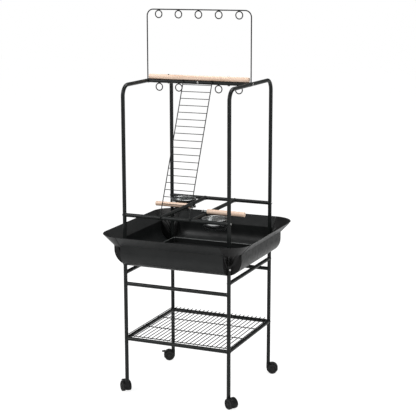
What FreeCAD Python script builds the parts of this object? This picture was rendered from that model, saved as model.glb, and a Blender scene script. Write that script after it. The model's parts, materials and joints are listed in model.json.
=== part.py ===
import FreeCAD, Part

import math
import os

from FreeCAD import Rotation, Vector

# Parrot play stand. Millimetres, +Z up, +X to the right, -Y towards the front.
# The origin is on the floor, in the middle between the four casters.

document = FreeCAD.newDocument("parrot_play_stand")
sheet = document.addObject("Spreadsheet::Sheet", "Sizes")

# Driving dimensions: name, value, meaning.
DIMENSIONS = [
    # tubular frame
    ("leg_spacing", 466, "distance between leg axes, both ways"),
    ("tube_diameter", 16, "outer diameter of every frame tube"),
    ("tube_wall", 1.2, "wall of every frame tube"),
    ("leg_foot_height", 48, "lower end of the leg tubes"),
    ("leg_top_height", 542, "shoulder where the hoops plug on the legs"),
    ("spigot_length", 40, "reduced leg end inside the hoop"),
    ("spigot_clearance", 0.05, "radial play of the spigot in the hoop"),
    ("shelf_bar_height", 238, "axis of the four shelf bars"),
    ("cross_bar_height", 478, "axis of the low front and rear bars"),
    ("side_bar_height", 525, "axis of the two side bars"),
    ("platform_height", 771, "axis of the platform rails and cross bars"),
    ("platform_bar_offset", 70, "platform cross bars, from the middle"),
    ("hoop_height", 1305, "axis of the hoops' top runs and of the perch bar"),
    ("hoop_bend_radius", 45, "bend of the hoops, on the tube axis"),
    # top perch and toy hoop
    ("top_perch_diameter", 20, "wooden top perch"),
    ("top_perch_length", 450, "wooden top perch"),
    ("perch_bolt_offset", 135, "bolts of the top perch, from the middle"),
    ("perch_bolt_diameter", 5, "bolts of the top perch"),
    ("perch_bolt_head_diameter", 10, "domed heads and nuts of those bolts"),
    ("perch_bolt_head_height", 3, "domed heads and nuts of those bolts"),
    ("toy_wire_diameter", 5, "wire of the toy hoop"),
    ("toy_hoop_height", 1604, "top of the toy hoop, the highest point"),
    ("toy_hoop_radius", 27.5, "bend of the toy hoop's corners"),
    ("toy_hoop_seat_depth", 5, "how deep its ends sit in the hoop tubes"),
    ("toy_ring_diameter", 34, "outer diameter of a toy ring"),
    ("toy_ring_wire", 4, "wire of a toy ring"),
    ("toy_ring_pitch", 90, "distance between toy rings"),
    # ladder
    ("ladder_width", 130, "distance between the ladder's side wires"),
    ("ladder_wire", 4, "side wires of the ladder"),
    ("rung_wire", 2.6, "rungs of the ladder"),
    ("rung_pitch", 30, "distance between rungs"),
    ("ladder_play", 0.4, "play of the ladder hooks on both bars"),
    ("ladder_hook_drop", 14, "length of the lower hook in front of the rail"),
    # cups, holders and side perches
    ("cup_offset_side", 147.5, "cup axes, sideways from the middle"),
    ("cup_ring_diameter", 114, "outer diameter of the holder's top ring"),
    ("cup_wire_diameter", 5, "wire of the holder's rings"),
    ("cradle_wire_diameter", 3, "upright wires of the holder"),
    ("cradle_ring_diameter", 84, "outer diameter of the holder's bottom ring"),
    ("cup_depth", 42, "rim to bottom of the cup"),
    ("cup_sheet", 0.8, "sheet of the cup"),
    ("cup_base_diameter", 76, "flat bottom of the cup"),
    ("cup_play", 0.5, "radial play of the cup in its ring"),
    ("side_perch_diameter", 20, "wooden side perches"),
    ("side_perch_length", 166, "wooden side perches"),
    ("side_perch_offset", 94, "side perches, front and rear of the middle"),
    ("clamp_width", 12, "strap of the perch clamp, along the bar"),
    ("clamp_sheet", 1.5, "strap of the perch clamp"),
    ("clamp_bolt_diameter", 5, "bolt of the perch clamp"),
    ("clamp_bolt_drop", 12.5, "bolt axis from the bar's axis"),
    # seed guard and pan
    ("guard_reach", 326, "top edge of the guard, from the middle"),
    ("guard_top_height", 693, "top edge of the guard"),
    ("guard_flare", 40, "width of the flared rim"),
    ("guard_flare_height", 42, "height of the flared rim"),
    ("guard_round_radius", 63, "quarter round of the panels"),
    ("guard_bottom_height", 557, "lower edge of the panels"),
    ("guard_sheet", 1.2, "sheet of the panels"),
    ("guard_lip", 16, "inward lip that carries the pan"),
    ("guard_length", 458, "length of a panel"),
    ("corner_wall", 2, "wall of the moulded corners"),
    ("corner_apex_height", 594, "where the corner's funnel meets the leg"),
    ("corner_clearance", 0.3, "gap between corner, panel and leg"),
    ("corner_foot_height", 561, "lower end of the corner's collar and cheeks"),
    ("corner_bolt_drop", 9, "corner's bolt, below where the funnel ends"),
    ("pan_margin", 4, "pan inside the panels' lower edges"),
    ("pan_wall_height", 24, "debris pan"),
    ("pan_sheet", 1.2, "debris pan"),
    ("pan_corner_radius", 12, "debris pan"),
    ("lift_clearance", 0.3, "what lifts off, above what carries it"),
    # shelf grid
    ("grid_wire_diameter", 3, "long wires of the shelf grid"),
    ("grid_cross_diameter", 4, "cross wires of the shelf grid"),
    ("grid_wire_count", 25, "long wires of the shelf grid"),
    ("grid_overhang", 6, "long wires past the shelf bars' axes"),
    ("grid_cross_offset", 74, "middle cross wires, from the middle"),
    # casters
    ("wheel_diameter", 43, "caster wheel"),
    ("wheel_width", 15, "one wheel of a pair"),
    ("caster_trail", 18, "axle behind the swivel axis"),
    ("housing_web", 8, "middle web of the housing"),
    ("housing_clearance", 1.2, "gap between wheel and hood"),
    ("housing_wall", 2.2, "hood of the housing"),
    ("housing_side_clearance", 0.5, "gap between wheel and web"),
    ("axle_diameter", 6, "caster axle"),
    ("axle_play", 0.05, "radial play of wheel and stem"),
    ("stem_diameter", 8, "caster stem"),
    ("stem_length", 34, "stem inside the leg"),
    ("socket_flange", 2, "flange of the stem socket"),
    ("swivel_gap", 0.4, "gap between housing and socket"),
    ("barrel_diameter", 17, "upright barrel of the housing"),
    ("lever_width", 18, "brake lever"),
    ("lever_thickness", 3, "brake lever"),
    ("lever_length", 8, "brake lever"),
    ("lever_pin_diameter", 3, "pin of the brake lever"),
    ("lever_hub_diameter", 7, "cheeks of the brake lever"),
    ("lever_angle", 40, "place of the lever round the hood"),
    # screws
    ("screw_diameter", 5, "frame screws"),
    ("screw_head_diameter", 9, "frame screws"),
    ("screw_head_height", 2.4, "frame screws"),
    ("plug_length", 10, "threaded plugs in the rail ends"),
]

for row, (alias, value, meaning) in enumerate(DIMENSIONS, start=1):
    sheet.set("A%d" % row, alias)
    sheet.set("B%d" % row, str(value))
    sheet.set("C%d" % row, meaning)
    sheet.setAlias("B%d" % row, alias)
document.recompute()


def size(alias):
    """Current value of a driving dimension."""
    return float(sheet.get(alias))


half = size("leg_spacing") / 2
tube_radius = size("tube_diameter") / 2
bore_radius = tube_radius - size("tube_wall")
FRONT_BACK = (("front", -1), ("rear", 1))
LEFT_RIGHT = (("left", -1), ("right", 1))
ALONG_X = Rotation(Vector(0, 1, 0), 90)
ALONG_Y = Rotation(Vector(1, 0, 0), -90)
UPRIGHT = Rotation()

pieces = []


def finish(item, label):
    """Name a finished piece and keep it for the export."""
    item.Label = label
    pieces.append(item)
    return item


def cylinder(name, radius, height, base, rotation=UPRIGHT):
    """Cylinder whose radius and height are expressions on the sheet."""
    item = document.addObject("Part::Cylinder", name)
    item.setExpression("Radius", radius)
    item.setExpression("Height", height)
    item.Placement = FreeCAD.Placement(base, rotation)
    return item


def cut(name, base, tool):
    """First shape without the second."""
    item = document.addObject("Part::Cut", name)
    item.Base = base
    item.Tool = tool
    return item


def tube(label, length, start, rotation):
    """Straight frame tube; length is an expression on the sheet."""
    outer = cylinder(label + "_outside", "Sizes.tube_diameter / 2", length, start, rotation)
    inner = cylinder(label + "_bore", "Sizes.tube_diameter / 2 - Sizes.tube_wall", length,
                     start, rotation)
    return cut(label + "_tube", outer, inner)


def feature(label, shape, placement=None):
    """Piece whose shape is worked out here from the sheet's sizes."""
    item = document.addObject("Part::Feature", label)
    item.Shape = shape
    if placement is not None:
        item.Placement = placement
    return finish(item, label)


def origin_plane(body, role):
    """The body's own base plane of that role."""
    return next(item for item in body.Origin.OriginFeatures if item.Role == role)


def sketch_on(body, name, role):
    """Empty sketch on one of the body's base planes."""
    sketch = body.newObject("Sketcher::SketchObject", name)
    sketch.AttachmentSupport = (origin_plane(body, role), [""])
    sketch.MapMode = "FlatFace"
    return sketch


def add_outline(sketch, points):
    """Closed outline of straight edges through the points."""
    for first, second in zip(points, points[1:] + points[:1]):
        sketch.addGeometry(Part.LineSegment(Vector(*first, 0), Vector(*second, 0)), False)


def rod(start, end, radius):
    """Straight round rod between two points."""
    return Part.makeCylinder(radius, (end - start).Length, start, end - start)


def bent_wire(points, bend_radius):
    """Path of straight runs with a round bend at each inner point."""
    edges = []
    last = points[0]
    for before, corner, after in zip(points, points[1:], points[2:]):
        way_in = (corner - before).normalize()
        way_out = (after - corner).normalize()
        turn = way_in.getAngle(way_out)
        reach = bend_radius * math.tan(turn / 2)
        bend_start = corner - way_in * reach
        bend_end = corner + way_out * reach
        inward = (way_out - way_in).normalize()
        middle = corner + inward * (bend_radius / math.cos(turn / 2) - bend_radius)
        edges.append(Part.LineSegment(last, bend_start).toShape())
        edges.append(Part.Arc(bend_start, middle, bend_end).toShape())
        last = bend_end
    edges.append(Part.LineSegment(last, points[-1]).toShape())
    return Part.Wire(edges)


def sweep_round(path, radius):
    """Round bar of that radius along the path."""
    start = path.Edges[0]
    tangent = start.tangentAt(start.FirstParameter)
    circle = Part.Wire(Part.makeCircle(radius, start.valueAt(start.FirstParameter), tangent))
    return path.makePipeShell([circle], True, False)


def moved(shape, base, rotation=UPRIGHT):
    """Copy of the shape, turned and then shifted."""
    return shape.transformShape(FreeCAD.Placement(base, rotation).toMatrix(), True)


def screw_body(tip, direction, length):
    """Pan-head screw: its head stands on the point, its shank goes the other way."""
    head_radius = size("screw_head_diameter") / 2
    head_height = size("screw_head_height")
    head = Part.makeCylinder(head_radius, head_height, tip, direction)
    head = head.makeFillet(head_height * 0.6, [head.Edges[0]])
    shank = Part.makeCylinder(size("screw_diameter") / 2, length, tip, direction * -1)
    return head.fuse(shank)


# ---------------------------------------------------------------------------
# Base: legs, low bars, side bars and shelf bars
# ---------------------------------------------------------------------------

bar_start = half - tube_radius
BAR_LENGTH = "Sizes.leg_spacing - Sizes.tube_diameter"

for front_name, front_side in FRONT_BACK:
    for left_name, left_side in LEFT_RIGHT:
        label = "%s_%s_leg" % (front_name, left_name)
        axis = Vector(left_side * half, front_side * half, 0)
        foot = axis + Vector(0, 0, size("leg_foot_height"))
        body_tube = tube(label, "Sizes.leg_top_height - Sizes.leg_foot_height", foot, UPRIGHT)
        shoulder = axis + Vector(0, 0, size("leg_top_height") - size("spigot_length"))
        spigot = cylinder(
            label + "_spigot",
            "Sizes.tube_diameter / 2 - Sizes.tube_wall - Sizes.spigot_clearance",
            "2 * Sizes.spigot_length", shoulder)
        spigot_bore = cylinder(
            label + "_spigot_bore",
            "Sizes.tube_diameter / 2 - 2 * Sizes.tube_wall - Sizes.spigot_clearance",
            "2 * Sizes.spigot_length", shoulder)
        plug = cylinder(label + "_plug", "Sizes.tube_diameter / 2 - Sizes.tube_wall / 2",
                        "Sizes.spigot_length / 4",
                        axis + Vector(0, 0, size("leg_top_height") - size("spigot_length") / 4))
        joined = document.addObject("Part::MultiFuse", label + "_joined")
        joined.Shapes = [body_tube, spigot, plug]
        finish(cut(label, joined, spigot_bore), label)

for front_name, front_side in FRONT_BACK:
    for role, height in (("cross_bar", "cross_bar_height"), ("shelf_bar", "shelf_bar_height")):
        label = "%s_%s" % (front_name, role)
        start = Vector(-bar_start, front_side * half, size(height))
        finish(tube(label, BAR_LENGTH, start, ALONG_X), label)

for left_name, left_side in LEFT_RIGHT:
    for role, height in (("side_bar", "side_bar_height"), ("shelf_bar", "shelf_bar_height")):
        label = "%s_%s" % (left_name, role)
        start = Vector(left_side * half, -bar_start, size(height))
        finish(tube(label, BAR_LENGTH, start, ALONG_Y), label)

# ---------------------------------------------------------------------------
# Upper frame: hoops, platform, perch bar
# ---------------------------------------------------------------------------

hoop_axis_height = size("hoop_height")
toy_wire_radius = size("toy_wire_diameter") / 2
screw_bore_radius = size("screw_diameter") / 2 + size("spigot_clearance")
corner_bolt_height = size("corner_apex_height") - size("corner_bolt_drop")


def hoop_screw_points(side):
    """Axes of the screws that hold the perch bar and the platform rails to a hoop."""
    return [
        Vector(side * half, 0, hoop_axis_height),
        Vector(side * half, -half, size("platform_height")),
        Vector(side * half, half, size("platform_height")),
    ]


def plugged(label, bar, start):
    """Bar along X with a threaded plug in each end."""
    plugs = []
    for end_name, end_x in (("left", start.x), ("right", -start.x - size("plug_length"))):
        plugs.append(cylinder("%s_%s_plug" % (label, end_name),
                              "Sizes.tube_diameter / 2 - Sizes.tube_wall / 2",
                              "Sizes.plug_length", Vector(end_x, start.y, start.z), ALONG_X))
    joined = document.addObject("Part::MultiFuse", label + "_plugged")
    joined.Shapes = [bar] + plugs
    thread = cylinder(label + "_thread", "Sizes.screw_diameter / 2 + Sizes.spigot_clearance",
                      BAR_LENGTH, start, ALONG_X)
    return cut(label + "_threaded", joined, thread)


for left_name, left_side in LEFT_RIGHT:
    label = "%s_hoop" % left_name
    side_x = left_side * half
    corners = [
        Vector(side_x, -half, size("leg_top_height")),
        Vector(side_x, -half, hoop_axis_height),
        Vector(side_x, half, hoop_axis_height),
        Vector(side_x, half, size("leg_top_height")),
    ]
    path = bent_wire(corners, size("hoop_bend_radius"))
    solid = sweep_round(path, tube_radius).cut(sweep_round(path, bore_radius))
    seat = Part.makeCylinder(toy_wire_radius + size("spigot_clearance"),
                             tube_radius * 2, Vector(side_x, 0, hoop_axis_height))
    solid = solid.cut(seat)
    for screw_point in hoop_screw_points(left_side):
        solid = solid.cut(rod(screw_point + Vector(tube_radius * 2, 0, 0),
                              screw_point - Vector(tube_radius * 2, 0, 0), screw_bore_radius))
    for front_name, front_side in FRONT_BACK:
        outward = Vector(left_side, front_side, 0).normalize()
        leg_point = Vector(side_x, front_side * half, corner_bolt_height)
        solid = solid.cut(rod(leg_point, leg_point + outward * tube_radius * 2,
                              screw_bore_radius))
    feature(label, solid)

for front_name, front_side in FRONT_BACK:
    label = "platform_%s_rail" % front_name
    start = Vector(-bar_start, front_side * half, size("platform_height"))
    finish(plugged(label, tube(label, BAR_LENGTH, start, ALONG_X), start), label)

for left_name, left_side in LEFT_RIGHT:
    label = "platform_%s_cross_bar" % left_name
    start = Vector(left_side * size("platform_bar_offset"), -bar_start, size("platform_height"))
    finish(tube(label, BAR_LENGTH, start, ALONG_Y), label)

perch_bar_start = Vector(-bar_start, 0, hoop_axis_height)
perch_tube = plugged("perch_bar", tube("perch_bar", BAR_LENGTH, perch_bar_start, ALONG_X),
                     perch_bar_start)
bolt_bores = document.addObject("Part::MultiFuse", "perch_bar_bolt_bores")
bolt_bores.Shapes = [
    cylinder("perch_bar_bolt_bore_" + name,
             "Sizes.perch_bolt_diameter / 2 + Sizes.spigot_clearance",
             "2 * Sizes.tube_diameter",
             Vector(side * size("perch_bolt_offset"), 0, hoop_axis_height - 2 * tube_radius))
    for name, side in LEFT_RIGHT
]
bolt_bores.Shapes = bolt_bores.Shapes + [
    cylinder("perch_bar_front_bore", "Sizes.screw_diameter / 2 + Sizes.spigot_clearance",
             "Sizes.tube_diameter", Vector(0, -2 * tube_radius, hoop_axis_height), ALONG_Y)]
finish(cut("perch_bar_bored", perch_tube, bolt_bores), "perch_bar")

# ---------------------------------------------------------------------------
# Top perch, its bolts, the toy hoop and the toy rings
# ---------------------------------------------------------------------------

ladder_wire_radius = size("ladder_wire") / 2
ladder_hook_radius = tube_radius + size("ladder_play") + ladder_wire_radius
top_perch_radius = size("top_perch_diameter") / 2
top_perch_height = hoop_axis_height + tube_radius + top_perch_radius
ladder_half = size("ladder_width") / 2
bolt_radius = size("perch_bolt_diameter") / 2

perch_solid = Part.makeCylinder(top_perch_radius, size("top_perch_length"),
                                Vector(-size("top_perch_length") / 2, 0, top_perch_height),
                                Vector(1, 0, 0))
perch_solid = perch_solid.makeFillet(top_perch_radius * 0.15,
                                     [edge for edge in perch_solid.Edges if edge.Closed])
for name, side in LEFT_RIGHT:
    bore = Part.makeCylinder(bolt_radius + size("spigot_clearance"), top_perch_radius * 3,
                             Vector(side * size("perch_bolt_offset"), 0,
                                    top_perch_height - top_perch_radius * 1.5))
    # groove under the perch where the ladder's hook goes round the perch bar
    groove = Part.makeTorus(ladder_hook_radius, ladder_wire_radius + size("ladder_play"),
                            Vector(side * ladder_half, 0, hoop_axis_height), Vector(1, 0, 0))
    perch_solid = perch_solid.cut(bore).cut(groove)
feature("top_perch", perch_solid)


def perch_bolt(side):
    """Bolt through the top perch and the perch bar, with a domed head and a nut."""
    axis_x = side * size("perch_bolt_offset")
    top = Vector(axis_x, 0, top_perch_height + top_perch_radius)
    bottom = Vector(axis_x, 0, hoop_axis_height - tube_radius)
    head_radius = size("perch_bolt_head_diameter") / 2
    head_height = size("perch_bolt_head_height")
    head = Part.makeCylinder(head_radius, head_height, top)
    head = head.makeFillet(head_height * 0.7, [head.Edges[0]])
    shank = rod(bottom - Vector(0, 0, 2 * head_height), top, bolt_radius)
    nut_points = [Vector(axis_x + head_radius * math.cos(math.radians(60 * step)),
                         head_radius * math.sin(math.radians(60 * step)),
                         bottom.z - head_height) for step in range(7)]
    nut = Part.Face(Part.makePolygon(nut_points)).extrude(Vector(0, 0, head_height))
    bolt = head.fuse(shank)
    return [bolt, nut.cut(shank)]


feature("top_perch_bolts", Part.makeCompound(perch_bolt(-1) + perch_bolt(1)))

toy_axis_height = size("toy_hoop_height") - toy_wire_radius
hoop_seat = hoop_axis_height + tube_radius - size("toy_hoop_seat_depth")
toy_path = bent_wire([
    Vector(-half, 0, hoop_seat),
    Vector(-half, 0, toy_axis_height),
    Vector(half, 0, toy_axis_height),
    Vector(half, 0, hoop_seat),
], size("toy_hoop_radius"))
ring_wire_radius = size("toy_ring_wire") / 2
ring_axis_radius = size("toy_ring_diameter") / 2 - ring_wire_radius


def toy_ring(offset, hang_height):
    """Ring in the plane of the toy hoop, spot-welded under what is above it."""
    centre = Vector(offset, 0, hang_height - size("toy_ring_diameter") / 2)
    return Part.makeTorus(ring_axis_radius, ring_wire_radius, centre, Vector(0, 1, 0))


feature("toy_hoop", sweep_round(toy_path, toy_wire_radius))

upper_rings = [toy_ring(step * size("toy_ring_pitch"), toy_axis_height - toy_wire_radius)
               for step in range(-2, 3)]
lower_rings = [toy_ring(step * size("toy_ring_pitch"), hoop_axis_height - tube_radius)
               for step in (-2, -1, 1, 2)]
feature("toy_rings", Part.makeCompound(upper_rings + lower_rings))

# ---------------------------------------------------------------------------
# Ladder: two side wires, hooked over the perch bar and over the front rail
# ---------------------------------------------------------------------------

rail_top = size("platform_height") + tube_radius
rail_hook_y = -half - tube_radius - size("ladder_play") - ladder_wire_radius
ladder_foot = Vector(0, rail_hook_y, rail_top + size("ladder_play") + ladder_wire_radius)


def tangent_point(height_above, centre, radius):
    """Where a line from the ladder's foot touches the hook's circle, on its front side."""
    away = Vector(0, centre.y - height_above.y, centre.z - height_above.z)
    distance = away.Length
    base_angle = math.atan2(away.z, away.y)
    spread = math.asin(radius / distance)
    reach = math.sqrt(distance ** 2 - radius ** 2)
    angle = base_angle + spread
    return Vector(0, height_above.y + reach * math.cos(angle),
                  height_above.z + reach * math.sin(angle))


hook_centre = Vector(0, 0, hoop_axis_height)
hook_start = tangent_point(ladder_foot, hook_centre, ladder_hook_radius)
slope = (hook_start - ladder_foot).normalize()


def ladder_side(side):
    """One side wire with both of its hooks."""
    shift = Vector(side * ladder_half, 0, 0)
    start_angle = math.atan2(hook_start.z - hook_centre.z, hook_start.y - hook_centre.y)
    hook_turn = math.radians(200)

    def on_hook(share):
        angle = start_angle - hook_turn * share
        return hook_centre + shift + Vector(0, ladder_hook_radius * math.cos(angle),
                                            ladder_hook_radius * math.sin(angle))

    edges = [
        Part.Arc(on_hook(1), on_hook(0.75), on_hook(0.5)).toShape(),
        Part.Arc(on_hook(0.5), on_hook(0.25), on_hook(0)).toShape(),
    ]
    lower = bent_wire([
        hook_start + shift,
        ladder_foot + shift,
        ladder_foot + shift - Vector(0, 0, size("ladder_hook_drop")),
    ], size("ladder_wire"))
    return sweep_round(Part.Wire(edges + lower.Edges), ladder_wire_radius)


side_wires = Part.makeCompound([ladder_side(-1), ladder_side(1)])
ladder_length = (hook_start - ladder_foot).Length
rung_radius = size("rung_wire") / 2
rung_count = int((ladder_length - size("rung_pitch") / 2) // size("rung_pitch"))
rungs = []
for step in range(rung_count):
    place = hook_start - slope * (size("rung_pitch") * (step + 0.5))
    rung = rod(place - Vector(ladder_half, 0, 0), place + Vector(ladder_half, 0, 0), rung_radius)
    # the ends are saddled to the side wires that they're welded to
    rungs.append(rung.cut(side_wires))
feature("ladder_side_wires", side_wires)
feature("ladder_rungs", Part.makeCompound(rungs))

# ---------------------------------------------------------------------------
# Cup holders and cups
# ---------------------------------------------------------------------------

cup_wire_radius = size("cup_wire_diameter") / 2
cup_ring_radius = size("cup_ring_diameter") / 2 - cup_wire_radius
cradle_radius = size("cradle_wire_diameter") / 2
cradle_ring_radius = size("cradle_ring_diameter") / 2 - cradle_radius
cup_rim_height = size("platform_height") + cup_wire_radius
cup_offset_depth = half - tube_radius - size("cup_ring_diameter") / 2
cradle_ring_height = cup_rim_height - size("cup_depth") - cradle_radius * 1.2
cup_body_radius = cup_ring_radius - cup_wire_radius - size("cup_play")
CUPS = (("left", -1, 1), ("right", 1, -1))


def cup_holder(centre):
    """Top ring, bottom ring and four upright wires on the diagonals."""
    holder = Part.makeTorus(cup_ring_radius, cup_wire_radius,
                            centre + Vector(0, 0, size("platform_height")))
    holder = holder.fuse(Part.makeTorus(cradle_ring_radius, cradle_radius,
                                        centre + Vector(0, 0, cradle_ring_height)))
    for quarter in range(4):
        angle = math.radians(45 + 90 * quarter)
        outward = Vector(math.cos(angle), math.sin(angle), 0)
        top = centre + outward * cup_ring_radius + Vector(0, 0, size("platform_height"))
        knee = centre + outward * cup_ring_radius + Vector(0, 0, cradle_ring_height)
        foot = centre + outward * cradle_ring_radius + Vector(0, 0, cradle_ring_height)
        path = bent_wire([top, knee, foot], cradle_radius * 3)
        holder = holder.fuse(sweep_round(path, cradle_radius))
    return holder


for name, left_side, front_side in CUPS:
    centre = Vector(left_side * size("cup_offset_side"), front_side * cup_offset_depth, 0)
    feature("%s_cup_holder" % name, cup_holder(centre))

for name, left_side, front_side in CUPS:
    label = "%s_cup" % name
    body = document.addObject("PartDesign::Body", label)
    profile = sketch_on(body, label + "_profile", "XZ_Plane")
    cup_sheet = size("cup_sheet")
    base_radius = size("cup_base_diameter") / 2
    depth = size("cup_depth")
    rim_radius = cup_ring_radius + cup_wire_radius * 0.6
    add_outline(profile, [
        (0, -depth), (base_radius, -depth), (cup_body_radius, -depth * 0.45),
        (cup_body_radius, 0), (rim_radius, 0), (rim_radius, cup_sheet * 2),
        (cup_body_radius - cup_sheet, cup_sheet * 2),
        (cup_body_radius - cup_sheet, -depth * 0.43),
        (base_radius - cup_sheet, -depth + cup_sheet), (0, -depth + cup_sheet),
    ])
    turned = body.newObject("PartDesign::Revolution", label + "_turned")
    turned.Profile = profile
    turned.ReferenceAxis = (profile, ["V_Axis"])
    turned.Angle = 360
    body.Tip = turned
    body.Placement = FreeCAD.Placement(
        Vector(left_side * size("cup_offset_side"), front_side * cup_offset_depth,
               cup_rim_height + size("lift_clearance")), UPRIGHT)
    finish(body, label)

# ---------------------------------------------------------------------------
# Side perches with their clamps and bolts
# ---------------------------------------------------------------------------

clamp_outer = tube_radius + size("clamp_sheet")
clamp_bolt_radius = size("clamp_bolt_diameter") / 2
clamp_half = size("clamp_width") / 2
perch_start = size("platform_bar_offset") + clamp_outer
ear_end = size("clamp_bolt_drop") + clamp_bolt_radius * 2

side_bolts = []
for name, left_side, front_side in CUPS:
    # the left perch hangs under its bar, the right one stands above its bar
    up = -1 if left_side < 0 else 1
    bar_point = Vector(left_side * size("platform_bar_offset"),
                       front_side * size("side_perch_offset"), size("platform_height"))
    along = Vector(0, 1, 0)
    strap = Part.makeCylinder(clamp_outer, size("clamp_width"),
                              bar_point - along * clamp_half, along)
    ears = Part.makeBox(2 * clamp_outer, size("clamp_width"), ear_end,
                        Vector(bar_point.x - clamp_outer, bar_point.y - clamp_half,
                               bar_point.z if up > 0 else bar_point.z - ear_end))
    slot_half = clamp_outer - size("clamp_sheet")
    slot = Part.makeBox(2 * slot_half, size("clamp_width"), ear_end,
                        Vector(bar_point.x - slot_half, bar_point.y - clamp_half,
                               bar_point.z if up > 0 else bar_point.z - ear_end))
    hole = Part.makeCylinder(tube_radius, size("clamp_width"),
                             bar_point - along * clamp_half, along)
    bolt_axis = bar_point + Vector(0, 0, up * size("clamp_bolt_drop"))
    bolt_hole = Part.makeCylinder(clamp_bolt_radius + size("spigot_clearance"),
                                  4 * clamp_outer, bolt_axis - Vector(2 * clamp_outer, 0, 0),
                                  Vector(1, 0, 0))
    feature("%s_perch_clamp" % name, strap.fuse(ears).cut(slot).cut(hole).cut(bolt_hole))

    outward = Vector(left_side, 0, 0)
    perch_base = Vector(left_side * perch_start, bolt_axis.y, bolt_axis.z)
    perch = Part.makeCylinder(size("side_perch_diameter") / 2, size("side_perch_length"),
                              perch_base, outward)
    perch = perch.makeFillet(size("side_perch_diameter") * 0.07,
                             [edge for edge in perch.Edges if edge.Closed])
    thread_length = size("side_perch_length") / 5
    pilot = Part.makeCylinder(clamp_bolt_radius, thread_length, perch_base, outward)
    feature("%s_perch" % name, perch.cut(pilot))

    nut_face = bolt_axis - outward * clamp_outer
    nut = Part.makeCylinder(clamp_bolt_radius * 2, clamp_bolt_radius * 1.6, nut_face, outward * -1)
    shank = rod(nut_face, perch_base + outward * thread_length, clamp_bolt_radius)
    side_bolts.append(nut.fuse(shank))
feature("side_perch_bolts", Part.makeCompound(side_bolts))

# ---------------------------------------------------------------------------
# Seed guard: four sheet panels, four moulded corners, corner bolts
# ---------------------------------------------------------------------------

reach = size("guard_reach")
kink_reach = reach - size("guard_flare")
kink_height = size("guard_top_height") - size("guard_flare_height")
round_radius = size("guard_round_radius")
round_centre = (kink_reach - round_radius, size("guard_bottom_height") + round_radius)
sheet_thickness = size("guard_sheet")
lip_end = round_centre[0] - size("guard_lip")
diagonal = math.sqrt(0.5)


def guard_profile(sketch):
    """Section of a panel: flared rim, straight wall, quarter round and inward lip."""
    inset = sheet_thickness
    flare_angle = math.atan2(size("guard_flare"), size("guard_flare_height"))
    edge_x = inset * math.cos(flare_angle)
    edge_z = inset * math.sin(flare_angle)
    kink_drop = inset * math.tan(flare_angle / 2)
    centre_x, centre_z = round_centre
    outer = [(reach, size("guard_top_height")), (kink_reach, kink_height),
             (kink_reach, centre_z)]
    inner = [(kink_reach - inset, centre_z), (kink_reach - inset, kink_height + kink_drop),
             (reach - edge_x, size("guard_top_height") + edge_z)]

    def line(first, second):
        sketch.addGeometry(Part.LineSegment(Vector(*first, 0), Vector(*second, 0)), False)

    def quarter(radius):
        centre = Vector(centre_x, centre_z, 0)
        middle = centre + Vector(radius * diagonal, -radius * diagonal, 0)
        sketch.addGeometry(Part.Arc(centre + Vector(radius, 0, 0), middle,
                                    centre + Vector(0, -radius, 0)), False)

    line(outer[0], outer[1])
    line(outer[1], outer[2])
    quarter(round_radius)
    bottom = centre_z - round_radius
    line((centre_x, bottom), (lip_end, bottom))
    line((lip_end, bottom), (lip_end, bottom + inset))
    line((lip_end, bottom + inset), (centre_x, bottom + inset))
    quarter(round_radius - inset)
    line(inner[0], inner[1])
    line(inner[1], inner[2])
    line(inner[2], outer[0])


# Mitre between the lips of neighbouring panels, and the room for the leg.
lip_low = lip_end - 1
leg_room = half + tube_radius + size("corner_clearance")
mitre_gap = size("corner_clearance")
GUARD_NOTCH = [
    (lip_low, lip_low - mitre_gap),
    (round_centre[0], round_centre[0] - mitre_gap),
    (leg_room, round_centre[0] - mitre_gap),
    (leg_room, size("guard_length")),
    (lip_low, size("guard_length")),
]

SIDES = (("right", 0), ("rear", 90), ("left", 180), ("front", 270))
for name, turn in SIDES:
    label = "seed_guard_%s" % name
    body = document.addObject("PartDesign::Body", label)
    profile = sketch_on(body, label + "_section", "XZ_Plane")
    guard_profile(profile)
    pad = body.newObject("PartDesign::Pad", label + "_sheet")
    pad.Profile = profile
    pad.Midplane = True
    pad.setExpression("Length", "Sizes.guard_length")
    corner_cuts = sketch_on(body, label + "_corner_cuts", "XY_Plane")
    for end in (-1, 1):
        add_outline(corner_cuts, [(x, end * y) for x, y in GUARD_NOTCH])
    notch = body.newObject("PartDesign::Pocket", label + "_notches")
    notch.Profile = corner_cuts
    notch.Type = "ThroughAll"
    notch.Reversed = True
    body.Tip = notch
    body.Placement = FreeCAD.Placement(Vector(), Rotation(Vector(0, 0, 1), turn))
    finish(body, label)

panel_half = size("guard_length") / 2
corner_wall = size("corner_wall")
corner_gap = size("corner_clearance")
apex_radius = tube_radius + corner_gap
leg_shift = half - panel_half


def corner_section():
    """Half section of a corner: flared rim, then a funnel down to the leg."""
    rim = reach - panel_half - corner_gap
    neck = kink_reach - panel_half - corner_gap
    foot = leg_shift * 1.5 + apex_radius + corner_wall
    apex = size("corner_apex_height")
    outside = [(rim, size("guard_top_height")), (neck, kink_height), (foot, apex)]
    wall = corner_wall
    inside = [(foot - wall, apex), (neck - wall, kink_height + wall * 0.4),
              (rim - wall * 1.4, size("guard_top_height"))]
    return outside + inside


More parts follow.
